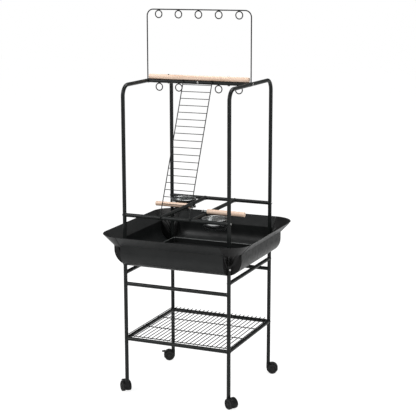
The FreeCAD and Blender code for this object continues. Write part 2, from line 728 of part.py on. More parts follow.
def corner_cheek(turn_side):
    """Flat cheek between the funnel, the leg and the end of a panel."""
    neck = kink_reach - panel_half - corner_gap
    foot = leg_shift * 1.5 + apex_radius + corner_wall
    apex = size("corner_apex_height")
    low_height = size("corner_foot_height")
    centre_x = round_centre[0] - panel_half
    centre_z = round_centre[1]
    drop_angle = math.asin((centre_z - low_height) / round_radius)
    low_x = centre_x + round_radius * math.cos(drop_angle) - corner_gap
    middle_angle = drop_angle / 2
    middle = Vector(centre_x + round_radius * math.cos(middle_angle) - corner_gap, 0,
                    centre_z - round_radius * math.sin(middle_angle))
    straight_end = Vector(neck, 0, centre_z)
    inner = foot - corner_wall
    corners = [Vector(low_x, 0, low_height), Vector(leg_shift, 0, low_height),
               Vector(leg_shift, 0, apex), Vector(inner, 0, apex), Vector(neck, 0, kink_height)]
    edges = [
        Part.LineSegment(Vector(neck, 0, kink_height), straight_end).toShape(),
        Part.Arc(straight_end, middle, corners[0]).toShape(),
    ]
    edges += [Part.LineSegment(first, second).toShape()
              for first, second in zip(corners, corners[1:])]
    face = Part.Face(Part.Wire(edges))
    if turn_side == 0:
        return face.extrude(Vector(0, corner_wall, 0))
    plate = face.extrude(Vector(0, -corner_wall, 0))
    plate.rotate(Vector(), Vector(0, 0, 1), 90)
    return plate


def corner_shape():
    """Corner in its own frame: panel ends on the planes X = 0 and Y = 0."""
    section = [Vector(x, 0, z) for x, z in corner_section()]
    face = Part.Face(Part.makePolygon(section + section[:1]))
    shell = face.revolve(Vector(), Vector(0, 0, 1), 90)
    solid = shell.fuse(corner_cheek(0)).fuse(corner_cheek(1)).removeSplitter()
    leg_hole = Part.makeCylinder(apex_radius, size("guard_top_height"),
                                 Vector(leg_shift, leg_shift, 0))
    low_height = size("corner_foot_height")
    collar_height = size("corner_apex_height") + corner_wall - low_height
    collar = Part.makeCylinder(apex_radius + corner_wall, collar_height,
                               Vector(leg_shift, leg_shift, low_height))
    quadrant = Part.makeBox(2 * leg_shift + 2 * apex_radius, 2 * leg_shift + 2 * apex_radius,
                            collar_height, Vector(0, 0, low_height))
    collar = collar.common(quadrant)
    bolt_bore = Part.makeCylinder(screw_bore_radius, tube_radius * 2,
                                  Vector(leg_shift, leg_shift, corner_bolt_height),
                                  Vector(1, 1, 0))
    return solid.fuse(collar).cut(leg_hole).cut(bolt_bore)


CORNERS = (("rear_right", 0, 1, 1), ("rear_left", 90, -1, 1),
           ("front_left", 180, -1, -1), ("front_right", 270, 1, -1))
corner_solid = corner_shape()
for name, turn, side_x, side_y in CORNERS:
    place = FreeCAD.Placement(Vector(side_x * panel_half, side_y * panel_half, 0),
                              Rotation(Vector(0, 0, 1), turn))
    feature("guard_corner_%s" % name, corner_solid.copy(), place)

# ---------------------------------------------------------------------------
# Debris pan on the panels' lips
# ---------------------------------------------------------------------------

pan_body = document.addObject("PartDesign::Body", "debris_pan")
pan_sketch = sketch_on(pan_body, "debris_pan_outline", "XY_Plane")
pan_half = round_centre[0] - size("pan_margin")
add_outline(pan_sketch, [(-pan_half, -pan_half), (pan_half, -pan_half),
                         (pan_half, pan_half), (-pan_half, pan_half)])
pan_pad = pan_body.newObject("PartDesign::Pad", "debris_pan_block")
pan_pad.Profile = pan_sketch
pan_pad.setExpression("Length", "Sizes.pan_wall_height")
document.recompute()
upright_edges = ["Edge%d" % (index + 1) for index, edge in enumerate(pan_pad.Shape.Edges)
                 if abs(edge.tangentAt(edge.FirstParameter).z) > 0.9]
pan_round = pan_body.newObject("PartDesign::Fillet", "debris_pan_corners")
pan_round.Base = (pan_pad, upright_edges)
pan_round.setExpression("Radius", "Sizes.pan_corner_radius")
document.recompute()
top_face = max(range(len(pan_round.Shape.Faces)),
               key=lambda index: pan_round.Shape.Faces[index].CenterOfMass.z)
pan_shell = pan_body.newObject("PartDesign::Thickness", "debris_pan_sheet")
pan_shell.Base = (pan_round, ["Face%d" % (top_face + 1)])
pan_shell.setExpression("Value", "Sizes.pan_sheet")
pan_shell.Reversed = True
pan_body.Tip = pan_shell
pan_floor = size("guard_bottom_height") + sheet_thickness + size("lift_clearance")
pan_body.Placement = FreeCAD.Placement(Vector(0, 0, pan_floor), UPRIGHT)
finish(pan_body, "debris_pan")

# ---------------------------------------------------------------------------
# Shelf grid: long wires from front to rear on four cross wires
# ---------------------------------------------------------------------------

grid_radius = size("grid_wire_diameter") / 2
cross_radius = size("grid_cross_diameter") / 2
shelf_top = size("shelf_bar_height") + tube_radius
cross_height = shelf_top + size("lift_clearance") + cross_radius
long_height = cross_height + cross_radius + grid_radius * 0.7
grid_count = int(round(size("grid_wire_count")))
grid_pitch = size("leg_spacing") / (grid_count - 1)
short_end = half - tube_radius - size("ladder_play") * 4
grid = None
for step in range(grid_count):
    wire_x = -half + grid_pitch * step
    beside_leg = half - abs(wire_x) < tube_radius + 2 * grid_radius
    end = short_end if beside_leg else half + size("grid_overhang")
    wire = rod(Vector(wire_x, -end, long_height), Vector(wire_x, end, long_height), grid_radius)
    grid = wire if grid is None else grid.fuse(wire)
for wire_y in (-short_end, -size("grid_cross_offset"), size("grid_cross_offset"), short_end):
    reach_x = half if abs(wire_y) < short_end else short_end
    grid = grid.fuse(rod(Vector(-reach_x, wire_y, cross_height),
                         Vector(reach_x, wire_y, cross_height), cross_radius))
feature("shelf_grid", grid)

# ---------------------------------------------------------------------------
# Casters
# ---------------------------------------------------------------------------

wheel_radius = size("wheel_diameter") / 2
web_half = size("housing_web") / 2
side_gap = size("housing_side_clearance")
wheel_inner = web_half + side_gap
wheel_outer = wheel_inner + size("wheel_width")
hood_inner = wheel_radius + size("housing_clearance")
hood_outer = hood_inner + size("housing_wall")
trail = size("caster_trail")
play = size("axle_play")
stem_radius = size("stem_diameter") / 2
axle_radius = size("axle_diameter") / 2
socket_bottom = size("leg_foot_height") - size("socket_flange")
barrel_top = socket_bottom - size("swivel_gap")
barrel_radius = size("barrel_diameter") / 2
# Headings of the trail, counter-clockwise from +X, as the four casters stand.
CASTERS = (("front_left", -1, -1, 136), ("front_right", 1, -1, 332),
           ("rear_left", -1, 1, 208), ("rear_right", 1, 1, 20))


def caster_housing(with_ear):
    """Web between the wheels, hood over them and the upright stem barrel."""
    axle = Vector(trail, 0, wheel_radius)
    sideways = Vector(0, 1, 0)
    web = Part.makeCylinder(hood_outer, 2 * web_half, axle - sideways * web_half, sideways)
    hood_half = wheel_outer - size("wheel_width") / 4
    hood = Part.makeCylinder(hood_outer, 2 * hood_half, axle - sideways * hood_half, sideways)
    room = Part.makeCylinder(hood_inner, 2 * hood_half, axle - sideways * hood_half, sideways)
    hood = hood.cut(room)
    block = Part.makeBox(4 * hood_outer, 4 * hood_outer, wheel_radius * 2,
                         Vector(-2 * hood_outer + trail, -2 * hood_outer,
                                wheel_radius * 0.9 - wheel_radius * 2))
    low_block = Part.makeBox(4 * hood_outer, 4 * hood_outer, wheel_radius * 2,
                             Vector(-2 * hood_outer + trail, -2 * hood_outer,
                                    wheel_radius * 0.35 - wheel_radius * 2))
    housing = hood.cut(block).fuse(web.cut(low_block))
    barrel_base = Vector(0, 0, wheel_radius)
    barrel = Part.makeCylinder(barrel_radius, barrel_top - wheel_radius, barrel_base)
    wheel_room = Part.makeCylinder(hood_inner, 2 * wheel_outer, axle - sideways * wheel_outer,
                                   sideways)
    web_plate = Part.makeBox(6 * hood_outer, 2 * web_half, 3 * wheel_radius,
                             Vector(-3 * hood_outer, -web_half, 0))
    housing = housing.fuse(barrel.cut(wheel_room.cut(web_plate)))
    stem_hole = Part.makeCylinder(stem_radius, barrel_top, Vector(0, 0, wheel_radius * 1.3))
    axle_hole = Part.makeCylinder(axle_radius, 2 * hood_outer,
                                  axle - sideways * hood_outer, sideways)
    if with_ear:
        housing = housing.fuse(lever_ear())
    return housing.cut(stem_hole).cut(axle_hole)


def caster_pins(with_lever):
    """Steel stem and axle, and the lever's pin, all held by the housing."""
    stem = Part.makeCylinder(stem_radius, size("leg_foot_height") + size("stem_length")
                             - wheel_radius * 1.3, Vector(0, 0, wheel_radius * 1.3))
    axle = Part.makeCylinder(axle_radius, 2 * wheel_outer,
                             Vector(trail, -wheel_outer, wheel_radius), Vector(0, 1, 0))
    pins = [stem, axle]
    if with_lever:
        half_width = size("lever_width") / 2
        pins.append(Part.makeCylinder(lever_pin_radius, 2 * half_width,
                                      lever_pivot - Vector(0, half_width, 0), Vector(0, 1, 0)))
    return Part.makeCompound(pins)


def caster_wheels():
    """The pair of wheels, each with a rounded tread and a recessed outer face."""
    wheels = []
    for side in (-1, 1):
        start = Vector(trail, side * wheel_inner, wheel_radius)
        outward = Vector(0, side, 0)
        wheel = Part.makeCylinder(wheel_radius, size("wheel_width"), start, outward)
        wheel = wheel.makeFillet(size("wheel_width") * 0.15,
                                 [edge for edge in wheel.Edges if edge.Closed])
        dish = Part.makeCylinder(wheel_radius * 0.72, size("wheel_width") * 0.2,
                                 start + outward * size("wheel_width") * 0.8, outward)
        bore = Part.makeCylinder(axle_radius + play, size("wheel_width"), start, outward)
        wheels.append(wheel.cut(dish).cut(bore))
    return Part.makeCompound(wheels)


lever_hub_radius = size("lever_hub_diameter") / 2
lever_pin_radius = size("lever_pin_diameter") / 2
lever_reach = hood_outer + lever_hub_radius + side_gap
lever_pivot = Vector(trail + lever_reach * math.cos(math.radians(size("lever_angle"))), 0,
                     wheel_radius + lever_reach * math.sin(math.radians(size("lever_angle"))))


def lever_ear():
    """Ear on the hood that carries the brake lever's pin."""
    ear = Part.makeBox(lever_reach - hood_inner, 2 * web_half, 2 * lever_hub_radius,
                       Vector(hood_inner, -web_half, -lever_hub_radius))
    tip = Part.makeCylinder(lever_hub_radius, 2 * web_half,
                            Vector(lever_reach, -web_half, 0), Vector(0, 1, 0))
    pin_hole = Part.makeCylinder(lever_pin_radius, 2 * web_half,
                                 Vector(lever_reach, -web_half, 0), Vector(0, 1, 0))
    return moved(ear.fuse(tip).cut(pin_hole), Vector(trail, 0, wheel_radius),
                 Rotation(Vector(0, 1, 0), -size("lever_angle")))


def brake_lever():
    """Foot lever: a plate with two cheeks that turn on the pin beside the ear."""
    width = size("lever_width")
    thickness = size("lever_thickness")
    plate_start = lever_hub_radius + side_gap
    plate = Part.makeBox(size("lever_length"), width, thickness,
                         Vector(plate_start, -width / 2, -thickness / 2))
    plate = plate.makeFillet(thickness * 0.3, plate.Edges)
    lever = plate
    cheek_width = width / 2 - web_half - side_gap
    for side in (-1, 1):
        base = -width / 2 if side < 0 else width / 2 - cheek_width
        cheek = Part.makeCylinder(lever_hub_radius, cheek_width, Vector(0, base, 0),
                                  Vector(0, 1, 0))
        arm = Part.makeBox(plate_start + thickness, cheek_width, thickness,
                           Vector(0, base, -thickness / 2))
        lever = lever.fuse(cheek).fuse(arm)
    bore = Part.makeCylinder(lever_pin_radius + play, width, Vector(0, -width / 2, 0),
                             Vector(0, 1, 0))
    return moved(lever.cut(bore), lever_pivot)


sockets = []
for name, side_x, side_y, heading in CASTERS:
    swivel = Vector(side_x * half, side_y * half, 0)
    place = FreeCAD.Placement(swivel, Rotation(Vector(0, 0, 1), heading))
    braked = side_x < 0
    feature("%s_caster_housing" % name, caster_housing(braked), place)
    feature("%s_caster_pins" % name, caster_pins(braked), place)
    feature("%s_caster_wheels" % name, caster_wheels(), place)
    if braked:
        feature("%s_brake_lever" % name, brake_lever(), place)
    flange = Part.makeCylinder(tube_radius, size("socket_flange"),
                               swivel + Vector(0, 0, socket_bottom))
    sleeve = Part.makeCylinder(bore_radius, size("stem_length"),
                               swivel + Vector(0, 0, size("leg_foot_height")))
    hole = Part.makeCylinder(stem_radius + play, 2 * size("stem_length"),
                             swivel + Vector(0, 0, socket_bottom))
    sockets.append(flange.fuse(sleeve).cut(hole))
feature("caster_sockets", Part.makeCompound(sockets))

# ---------------------------------------------------------------------------
# Screws: corners to legs, rails to hoops, perch bar to hoops
# ---------------------------------------------------------------------------

frame_screws = []
for name, turn, side_x, side_y in CORNERS:
    outward = Vector(side_x, side_y, 0).normalize()
    face_point = Vector(side_x * half, side_y * half, corner_bolt_height)
    face_point = face_point + outward * (apex_radius + corner_wall)
    frame_screws.append(screw_body(face_point, outward, tube_radius))
for side_name, side in LEFT_RIGHT:
    for screw_point in hoop_screw_points(side):
        outward = Vector(side, 0, 0)
        frame_screws.append(screw_body(screw_point + outward * tube_radius, outward,
                                       2 * tube_radius + size("plug_length")))
front_point = Vector(0, -tube_radius, hoop_axis_height)
frame_screws.append(screw_body(front_point, Vector(0, -1, 0), tube_radius))
feature("frame_screws", Part.makeCompound(frame_screws))

# ---------------------------------------------------------------------------
# Check and write
# ---------------------------------------------------------------------------

document.recompute()
for item in document.Objects:
    if "Invalid" in item.State or "Error" in item.State:
        raise RuntimeError("%s failed: %s" % (item.Label, item.State))
for item in pieces:
    if item.Shape.isNull() or not item.Shape.isValid() or not item.Shape.Solids:
        raise RuntimeError("%s has no valid solid" % item.Label)

os.makedirs("parts", exist_ok=True)
for item in pieces:
    item.Shape.exportStep("parts/%s.step" % item.Label)
    print("%-32s %d solid(s) %10.1f mm3" % (item.Label, len(item.Shape.Solids),
                                            item.Shape.Volume))
print(len(pieces), "nodes")
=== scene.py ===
# %% [markdown]
# # A parrot play stand
# The stand is a black tubular frame on four swivel casters. It carries a wooden perch,
# a toy hoop, a wire ladder, two steel cups, a sheet-metal seed guard and a wire shelf.
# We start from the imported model, which fixes every place and size, and dress it.

# %% Load the frame
import json
import math

import bpy
import bmesh
from mathutils import Matrix, Vector


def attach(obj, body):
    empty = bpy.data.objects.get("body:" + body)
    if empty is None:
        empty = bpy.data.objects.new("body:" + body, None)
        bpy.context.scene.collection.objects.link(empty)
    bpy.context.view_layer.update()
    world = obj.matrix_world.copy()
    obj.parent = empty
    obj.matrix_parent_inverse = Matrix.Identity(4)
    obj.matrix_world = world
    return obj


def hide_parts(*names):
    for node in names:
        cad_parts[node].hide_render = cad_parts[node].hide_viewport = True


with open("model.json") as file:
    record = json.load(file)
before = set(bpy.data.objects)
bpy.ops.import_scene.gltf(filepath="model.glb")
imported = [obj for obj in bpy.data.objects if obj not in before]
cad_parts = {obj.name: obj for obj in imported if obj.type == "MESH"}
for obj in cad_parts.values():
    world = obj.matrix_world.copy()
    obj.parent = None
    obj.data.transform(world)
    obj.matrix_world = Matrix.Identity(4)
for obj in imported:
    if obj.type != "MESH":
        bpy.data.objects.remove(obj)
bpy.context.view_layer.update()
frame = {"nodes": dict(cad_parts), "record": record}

# %% [markdown]
# ## Sizes
# Lengths are in metres, because that is Blender's unit. The few numbers below are the
# stand's own: the square of its legs, the radius of its tube, the heights of its bars,
# and how long a guard panel is and how far its flared edge reaches out.

# %% Sizes of the stand
LEG_HALF = 0.233
TUBE_RADIUS = 0.008
SHELF_BAR_HEIGHT = 0.238
CROSS_BAR_HEIGHT = 0.478
SIDE_BAR_HEIGHT = 0.525
RAIL_HEIGHT = 0.771
PLATFORM_BAR_OFFSET = 0.070
PERCH_BAR_HEIGHT = 1.305
PANEL_HALF = 0.229
GUARD_REACH = 0.326
print("leg spacing", 2 * LEG_HALF)

# %% [markdown]
# ## Camera
# The camera stands to the right of the front, a little higher than the top of the toy
# hoop. A long lens from five metres keeps the uprights nearly parallel.

# %% Camera
CAMERA_AIM = Vector((0, 0, 0.752))
CAMERA_ROLL = math.radians(-0.15)
FOCAL_LENGTH_PIXELS = 1199.5
PICTURE_WIDTH_PIXELS = 416
camera_data = bpy.data.cameras.new("camera")
camera = bpy.data.objects.new("camera", camera_data)
bpy.context.scene.collection.objects.link(camera)
camera.location = (1.997, -4.552, 1.794)
aim = CAMERA_AIM - camera.location
look = aim.to_track_quat("-Z", "Y").to_matrix().to_4x4()
roll = Matrix.Rotation(CAMERA_ROLL, 4, "Z")
camera.matrix_world = Matrix.Translation(camera.location) @ look @ roll
camera_data.sensor_width = 36
camera_data.lens = FOCAL_LENGTH_PIXELS / PICTURE_WIDTH_PIXELS * camera_data.sensor_width
camera_data.shift_x = 0.0219
camera_data.shift_y = 0.0123
camera_data.clip_end = 60
bpy.context.scene.camera = camera
print("lens", round(camera_data.lens, 1), "mm")

# %% [markdown]
# ## Small helpers
# Most wires here are round bars along a bent path, and most turned parts are a profile
# spun round an axis. Two short functions make those, so that each piece stays readable.

# %% Helper: put a mesh in the scene
def add_piece(title, mesh, material, sharp=40):
    """Object for a finished mesh, smooth apart from its real edges."""
    piece = bpy.data.objects.new(title, mesh)
    bpy.context.scene.collection.objects.link(piece)
    for face in mesh.polygons:
        face.use_smooth = True
    mesh.set_sharp_from_angle(angle=math.radians(sharp))
    mesh.materials.clear()
    mesh.materials.append(material)
    return piece


def outward(mesh):
    """Weld doubles and turn every face outwards."""
    build = bmesh.new()
    build.from_mesh(mesh)
    bmesh.ops.remove_doubles(build, verts=build.verts, dist=1e-6)
    bmesh.ops.recalc_face_normals(build, faces=build.faces)
    build.to_mesh(mesh)
    build.free()
    return mesh


def joined(title, meshes):
    """One mesh out of several."""
    build = bmesh.new()
    for mesh in meshes:
        build.from_mesh(mesh)
    result = bpy.data.meshes.new(title)
    build.to_mesh(result)
    build.free()
    return result


# %% Helper: a profile spun round an axis
def turned(title, profile, steps=48, place=None, closed=False):
    """Spin (radius, height) points round Z; closed joins the last point to the first."""
    build = bmesh.new()
    uv = build.loops.layers.uv.new("around")
    rings = []
    for radius, height in profile:
        if radius < 1e-7:
            rings.append([build.verts.new((0, 0, height))])
            continue
        ring = []
        for step in range(steps):
            angle = 2 * math.pi * step / steps
            ring.append(build.verts.new((radius * math.cos(angle), radius * math.sin(angle),
                                         height)))
        rings.append(ring)
    pairs = list(zip(rings, rings[1:]))
    if closed:
        pairs.append((rings[-1], rings[0]))
    for row, (low, high) in enumerate(pairs):
        for step in range(steps):
            after = (step + 1) % steps
            if len(low) == 1 and len(high) == 1:
                continue
            if len(low) == 1:
                corners = [low[0], high[after], high[step]]
            elif len(high) == 1:
                corners = [low[step], low[after], high[0]]
            else:
                corners = [low[step], low[after], high[after], high[step]]
            face = build.faces.new(corners)
            near = (low[step % len(low)], high[step % len(high)])
            for loop in face.loops:
                share = (step + (loop.vert not in near)) / steps
                loop[uv].uv = (share, (row + (loop.vert in high)) / len(pairs))
    bmesh.ops.recalc_face_normals(build, faces=build.faces)
    mesh = bpy.data.meshes.new(title)
    build.to_mesh(mesh)
    build.free()
    if place is not None:
        mesh.transform(place)
    return mesh


def standing(point, direction):
    """Matrix that takes Z to the direction and the origin to the point."""
    turn = Vector(direction).normalized().to_track_quat("Z", "Y").to_matrix().to_4x4()
    return Matrix.Translation(Vector(point)) @ turn


# %% Helper: a round wire along a bent path
def bent(points, bend, steps=8):
    """Points of a path with a round bend at each inner corner."""
    points = [Vector(p) for p in points]
    path = [points[0]]
    for before, corner, after in zip(points, points[1:], points[2:]):
        way_in = (corner - before).normalized()
        way_out = (after - corner).normalized()
        turn = way_in.angle(way_out)
        reach = bend * math.tan(turn / 2)
        start = corner - way_in * reach
        inward = (way_out - way_in).normalized()
        centre = corner + inward * (bend / math.cos(turn / 2))
        first = start - centre
        last = corner + way_out * reach - centre
        for step in range(steps + 1):
            share = step / steps
            arm = first * math.sin((1 - share) * turn) + last * math.sin(share * turn)
            path.append(centre + arm / math.sin(turn))
    path.append(points[-1])
    return path


DOME_WIDTH = 0.7
DOME_REACH = 0.35


def wire(title, path, radius, sides=12, cyclic=False):
    """Round wire along the points, with domed ends where it is open."""
    path = [Vector(p) for p in path]
    count = len(path)
    build = bmesh.new()
    rings = []
    normal = None
    for index, point in enumerate(path):
        before = path[index - 1] if index or cyclic else point
        after = path[(index + 1) % count] if index < count - 1 or cyclic else point
        tangent = (after - before).normalized()
        if normal is None:
            normal = tangent.orthogonal().normalized()
        normal = (normal - tangent * normal.dot(tangent)).normalized()
        side = tangent.cross(normal)
        rings.append([build.verts.new(point + radius * (normal * math.cos(2 * math.pi * k / sides)
                                                        + side * math.sin(2 * math.pi * k / sides)))
                      for k in range(sides)])
    for low, high in zip(rings, rings[1:]):
        for k in range(sides):
            after = (k + 1) % sides
            build.faces.new([low[k], low[after], high[after], high[k]])
    if cyclic:
        low, high = rings[-1], rings[0]
        start = min(range(sides), key=lambda k: (high[k].co - low[0].co).length)
        for k in range(sides):
            build.faces.new([low[k], low[(k + 1) % sides], high[(k + 1 + start) % sides],
                             high[(k + start) % sides]])
    else:
        for ring, tip, inner in ((rings[0], path[0], path[1]), (rings[-1], path[-1], path[-2])):
            out = (tip - inner).normalized()
            smaller = [build.verts.new(tip + (v.co - tip) * DOME_WIDTH + out * radius * DOME_REACH)
                       for v in ring]
            for k in range(sides):
                after = (k + 1) % sides
                build.faces.new([ring[k], ring[after], smaller[after], smaller[k]])
            build.faces.new(smaller)
    bmesh.ops.recalc_face_normals(build, faces=build.faces)
    mesh = bpy.data.meshes.new(title)
    build.to_mesh(mesh)
    build.free()
    return mesh


# %% [markdown]
# ## Materials
# Each finish is built from noise at the scale of the real surface: the orange peel of
# powder coat is a few millimetres wide, wood grain runs along the perch, and spun steel
# has fine rings round its axis. The base values sit on the shader's own sockets.

# %% Helper: start a material
def new_material(title, base, roughness, metallic=0.0, **sockets):
    """Principled material and the nodes that every finish starts from."""
    material = bpy.data.materials.new(title)
    material.use_nodes = True
    nodes = material.node_tree.nodes
    links = material.node_tree.links
    shader = nodes["Principled BSDF"]
    shader.inputs["Base Color"].default_value = (*base, 1)
    shader.inputs["Roughness"].default_value = roughness
    shader.inputs["Metallic"].default_value = metallic
    for label, value in sockets.items():
        shader.inputs[label.replace("_", " ")].default_value = value
    return material, nodes, links, shader


def noise(nodes, links, scale, detail=3, stretch=None, source="Object"):
    """Noise on object coordinates, stretched if asked."""
    place = nodes.new("ShaderNodeTexCoord")
    texture = nodes.new("ShaderNodeTexNoise")
    texture.inputs["Scale"].default_value = scale
    texture.inputs["Detail"].default_value = detail
    if stretch is None:
        links.new(place.outputs[source], texture.inputs["Vector"])
    else:
        mapping = nodes.new("ShaderNodeMapping")
        mapping.inputs["Scale"].default_value = stretch
        links.new(place.outputs[source], mapping.inputs["Vector"])
        links.new(mapping.outputs["Vector"], texture.inputs["Vector"])
    return texture


def ramp(nodes, links, source, stops):
    """Colour ramp fed by the source."""
    node = nodes.new("ShaderNodeValToRGB")
    node.color_ramp.elements[0].position = stops[0][0]
    node.color_ramp.elements[0].color = (*stops[0][1], 1)
    node.color_ramp.elements[1].position = stops[-1][0]
    node.color_ramp.elements[1].color = (*stops[-1][1], 1)
    for position, colour in stops[1:-1]:
        element = node.color_ramp.elements.new(position)
        element.color = (*colour, 1)
    links.new(source, node.inputs["Fac"])
    return node


def spread(nodes, links, source, low, high):
    """Value between low and high."""
    node = nodes.new("ShaderNodeMapRange")
    node.inputs["From Min"].default_value = 0.3
    node.inputs["From Max"].default_value = 0.7
    node.inputs["To Min"].default_value = low
    node.inputs["To Max"].default_value = high
    links.new(source, node.inputs["Value"])
    return node


def bump(nodes, links, height, shader, depth):
    """Surface relief of that depth in metres."""
    node = nodes.new("ShaderNodeBump")
    node.inputs["Strength"].default_value = 0.5
    node.inputs["Distance"].default_value = depth
    links.new(height, node.inputs["Height"])
    links.new(node.outputs["Normal"], shader.inputs["Normal"])
    return node


# %% Powder coat
def powder_coat(title, dark, light, roughness, peel_scale, peel_depth, specular=0.22):
    """Dark powder coat: slight cloudiness, orange peel and a satin shine."""
    material, nodes, links, shader = new_material(title, dark, roughness,
                                                  Specular_IOR_Level=specular)
    cloud = noise(nodes, links, 18, 4)
    tone = ramp(nodes, links, cloud.outputs["Fac"], [(0.3, dark), (0.75, light)])
    links.new(tone.outputs["Color"], shader.inputs["Base Color"])
    smear = noise(nodes, links, 60, 3)
    shine = spread(nodes, links, smear.outputs["Fac"], roughness - 0.05, roughness + 0.07)
    links.new(shine.outputs["Result"], shader.inputs["Roughness"])
    peel = noise(nodes, links, peel_scale, 2)
    bump(nodes, links, peel.outputs["Fac"], shader, peel_depth)
    return material


frame_coat = powder_coat("frame_coat", (0.0062, 0.0074, 0.0072), (0.0108, 0.0125, 0.0121),
                         0.36, 700, 0.00006)
sheet_coat = powder_coat("sheet_coat", (0.0062, 0.0070, 0.0071), (0.0105, 0.0114, 0.0114),
                         0.40, 420, 0.00008)
# The pan rim's coat is painted about ten times lighter than the sheet coat, a painted highlight for
# the bright line along the pan; its lower roughness and stronger specular are real gloss.
painted_highlight_rim_coat = powder_coat("painted_highlight_rim_coat", (0.070, 0.074, 0.073), (0.105, 0.110, 0.108),
                       0.22, 700, 0.00002, specular=0.8)
print(frame_coat.name, sheet_coat.name, painted_highlight_rim_coat.name)

# %% Moulded plastic
def moulded(title, dark, light, roughness, grain_scale, grain_depth):
    """Moulded plastic with a fine spark-eroded grain."""
    material, nodes, links, shader = new_material(title, dark, roughness,
                                                  Specular_IOR_Level=0.18)
    cloud = noise(nodes, links, 30, 3)
    tone = ramp(nodes, links, cloud.outputs["Fac"], [(0.3, dark), (0.75, light)])
    links.new(tone.outputs["Color"], shader.inputs["Base Color"])
    shine = spread(nodes, links, cloud.outputs["Fac"], roughness - 0.06, roughness + 0.06)
    links.new(shine.outputs["Result"], shader.inputs["Roughness"])
    grain = noise(nodes, links, grain_scale, 5)
    bump(nodes, links, grain.outputs["Fac"], shader, grain_depth)
    return material


corner_plastic = moulded("moulded_corner", (0.0045, 0.0045, 0.0046), (0.0080, 0.0079, 0.0079),
                         0.42, 1500, 0.00008)
caster_plastic = moulded("moulded_caster", (0.0060, 0.0062, 0.0064), (0.0110, 0.0112, 0.0112),
                         0.40, 1800, 0.00005)
tread_plastic = moulded("wheel_plastic", (0.0170, 0.0174, 0.0174), (0.0290, 0.0288, 0.0284),
                        0.58, 900, 0.0001)
print(corner_plastic.name, caster_plastic.name, tread_plastic.name)

# %% Perch wood
perch_wood, nodes, links, shader = new_material("sanded_wood", (0.78, 0.56, 0.36), 0.55)
growth = noise(nodes, links, 1, 6, (7, 130, 130))
pale = (0.68, 0.515, 0.405)
tan = (0.61, 0.44, 0.33)
brown = (0.47, 0.32, 0.225)
tone = ramp(nodes, links, growth.outputs["Fac"],
            [(0.25, brown), (0.42, tan), (0.55, pale), (0.8, (0.72, 0.56, 0.45))])
pores = noise(nodes, links, 1, 4, (60, 900, 900))
pore_tone = ramp(nodes, links, pores.outputs["Fac"],
                 [(0.30, (0.62, 0.50, 0.40)), (0.46, (1, 1, 1))])
blend = nodes.new("ShaderNodeMix")
blend.data_type = "RGBA"
blend.blend_type = "MULTIPLY"
blend.inputs["Factor"].default_value = 0.55
links.new(tone.outputs["Color"], blend.inputs["A"])
links.new(pore_tone.outputs["Color"], blend.inputs["B"])
links.new(blend.outputs["Result"], shader.inputs["Base Color"])
shine = spread(nodes, links, growth.outputs["Fac"], 0.50, 0.66)
links.new(shine.outputs["Result"], shader.inputs["Roughness"])
bump(nodes, links, pores.outputs["Fac"], shader, 0.00012)
print(perch_wood.name)

# %% Steel of the cups, and bright plated fasteners
spun_steel, nodes, links, shader = new_material("spun_steel", (0.50, 0.51, 0.51), 0.24, 1.0,
                                                Anisotropic=0.5)
rings = noise(nodes, links, 1, 3, (3, 260, 1), source="UV")
tone = ramp(nodes, links, rings.outputs["Fac"],
            [(0.3, (0.40, 0.41, 0.41)), (0.7, (0.58, 0.59, 0.59))])
links.new(tone.outputs["Color"], shader.inputs["Base Color"])
shine = spread(nodes, links, rings.outputs["Fac"], 0.18, 0.34)
links.new(shine.outputs["Result"], shader.inputs["Roughness"])
bump(nodes, links, rings.outputs["Fac"], shader, 0.00003)

plated_steel, nodes, links, shader = new_material("plated_steel", (0.48, 0.48, 0.47), 0.34, 1.0)
cloud = noise(nodes, links, 250, 4)
tone = ramp(nodes, links, cloud.outputs["Fac"],
            [(0.3, (0.36, 0.36, 0.35)), (0.7, (0.56, 0.56, 0.55))])
links.new(tone.outputs["Color"], shader.inputs["Base Color"])
shine = spread(nodes, links, cloud.outputs["Fac"], 0.28, 0.44)
links.new(shine.outputs["Result"], shader.inputs["Roughness"])
scratch = noise(nodes, links, 1500, 2)
bump(nodes, links, scratch.outputs["Fac"], shader, 0.00002)
print(spun_steel.name, plated_steel.name)

# %% [markdown]
# ## Finishes on the frame's own pieces
# The straight tubes, the sheet panels and the pan already have the right shape, so they
# only take their finish. Each record slot has one main material; the wheels and the
# pan's rim get a finish of their own further down.

# %% Give every carried-over piece its finish
FINISH = {
    "frame_black": frame_coat,
    "guard_black": sheet_coat,
    "corner_plastic": corner_plastic,
    "perch_wood": perch_wood,
    "cup_steel": spun_steel,
    "fastener_steel": plated_steel,
    "caster_plastic": caster_plastic,
}
for subpart in frame["record"]["subparts"]:
    node = frame["nodes"][subpart["node"]]
    node.data.materials.clear()
    node.data.materials.append(FINISH[subpart["material_slot"]])
print(len(frame["nodes"]), "pieces have their finish")


# %% Helper: swap a piece for a finer one
def stand_for(piece, body, slot, *names):
    """The piece rides on the body and replaces the named nodes; the slot is not used."""
    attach(piece, body)
    if names:
        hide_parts(*names)
    print(piece.name, len(piece.data.polygons), "faces")


# %% [markdown]
# ## Patterns with Geometry Nodes
# Rungs, shelf wires, toy rings, screws and weld collars all repeat. One tree repeats an
# object along a straight line, and a second one sets an object on points that carry
# their own turn. Both end in Realize Instances and Set Material, and their result is
# then kept as a plain mesh.

# %% Tree: repeat along a line
def new_tree(title, inputs):
    """Geometry Nodes tree with named inputs."""
    tree = bpy.data.node_groups.new(title, "GeometryNodeTree")
    tree.interface.new_socket("Geometry", in_out="INPUT", socket_type="NodeSocketGeometry")
    for label, kind in inputs:
        tree.interface.new_socket(label, in_out="INPUT", socket_type=kind)
    tree.interface.new_socket("Geometry", in_out="OUTPUT", socket_type="NodeSocketGeometry")
    return tree, tree.nodes, tree.links


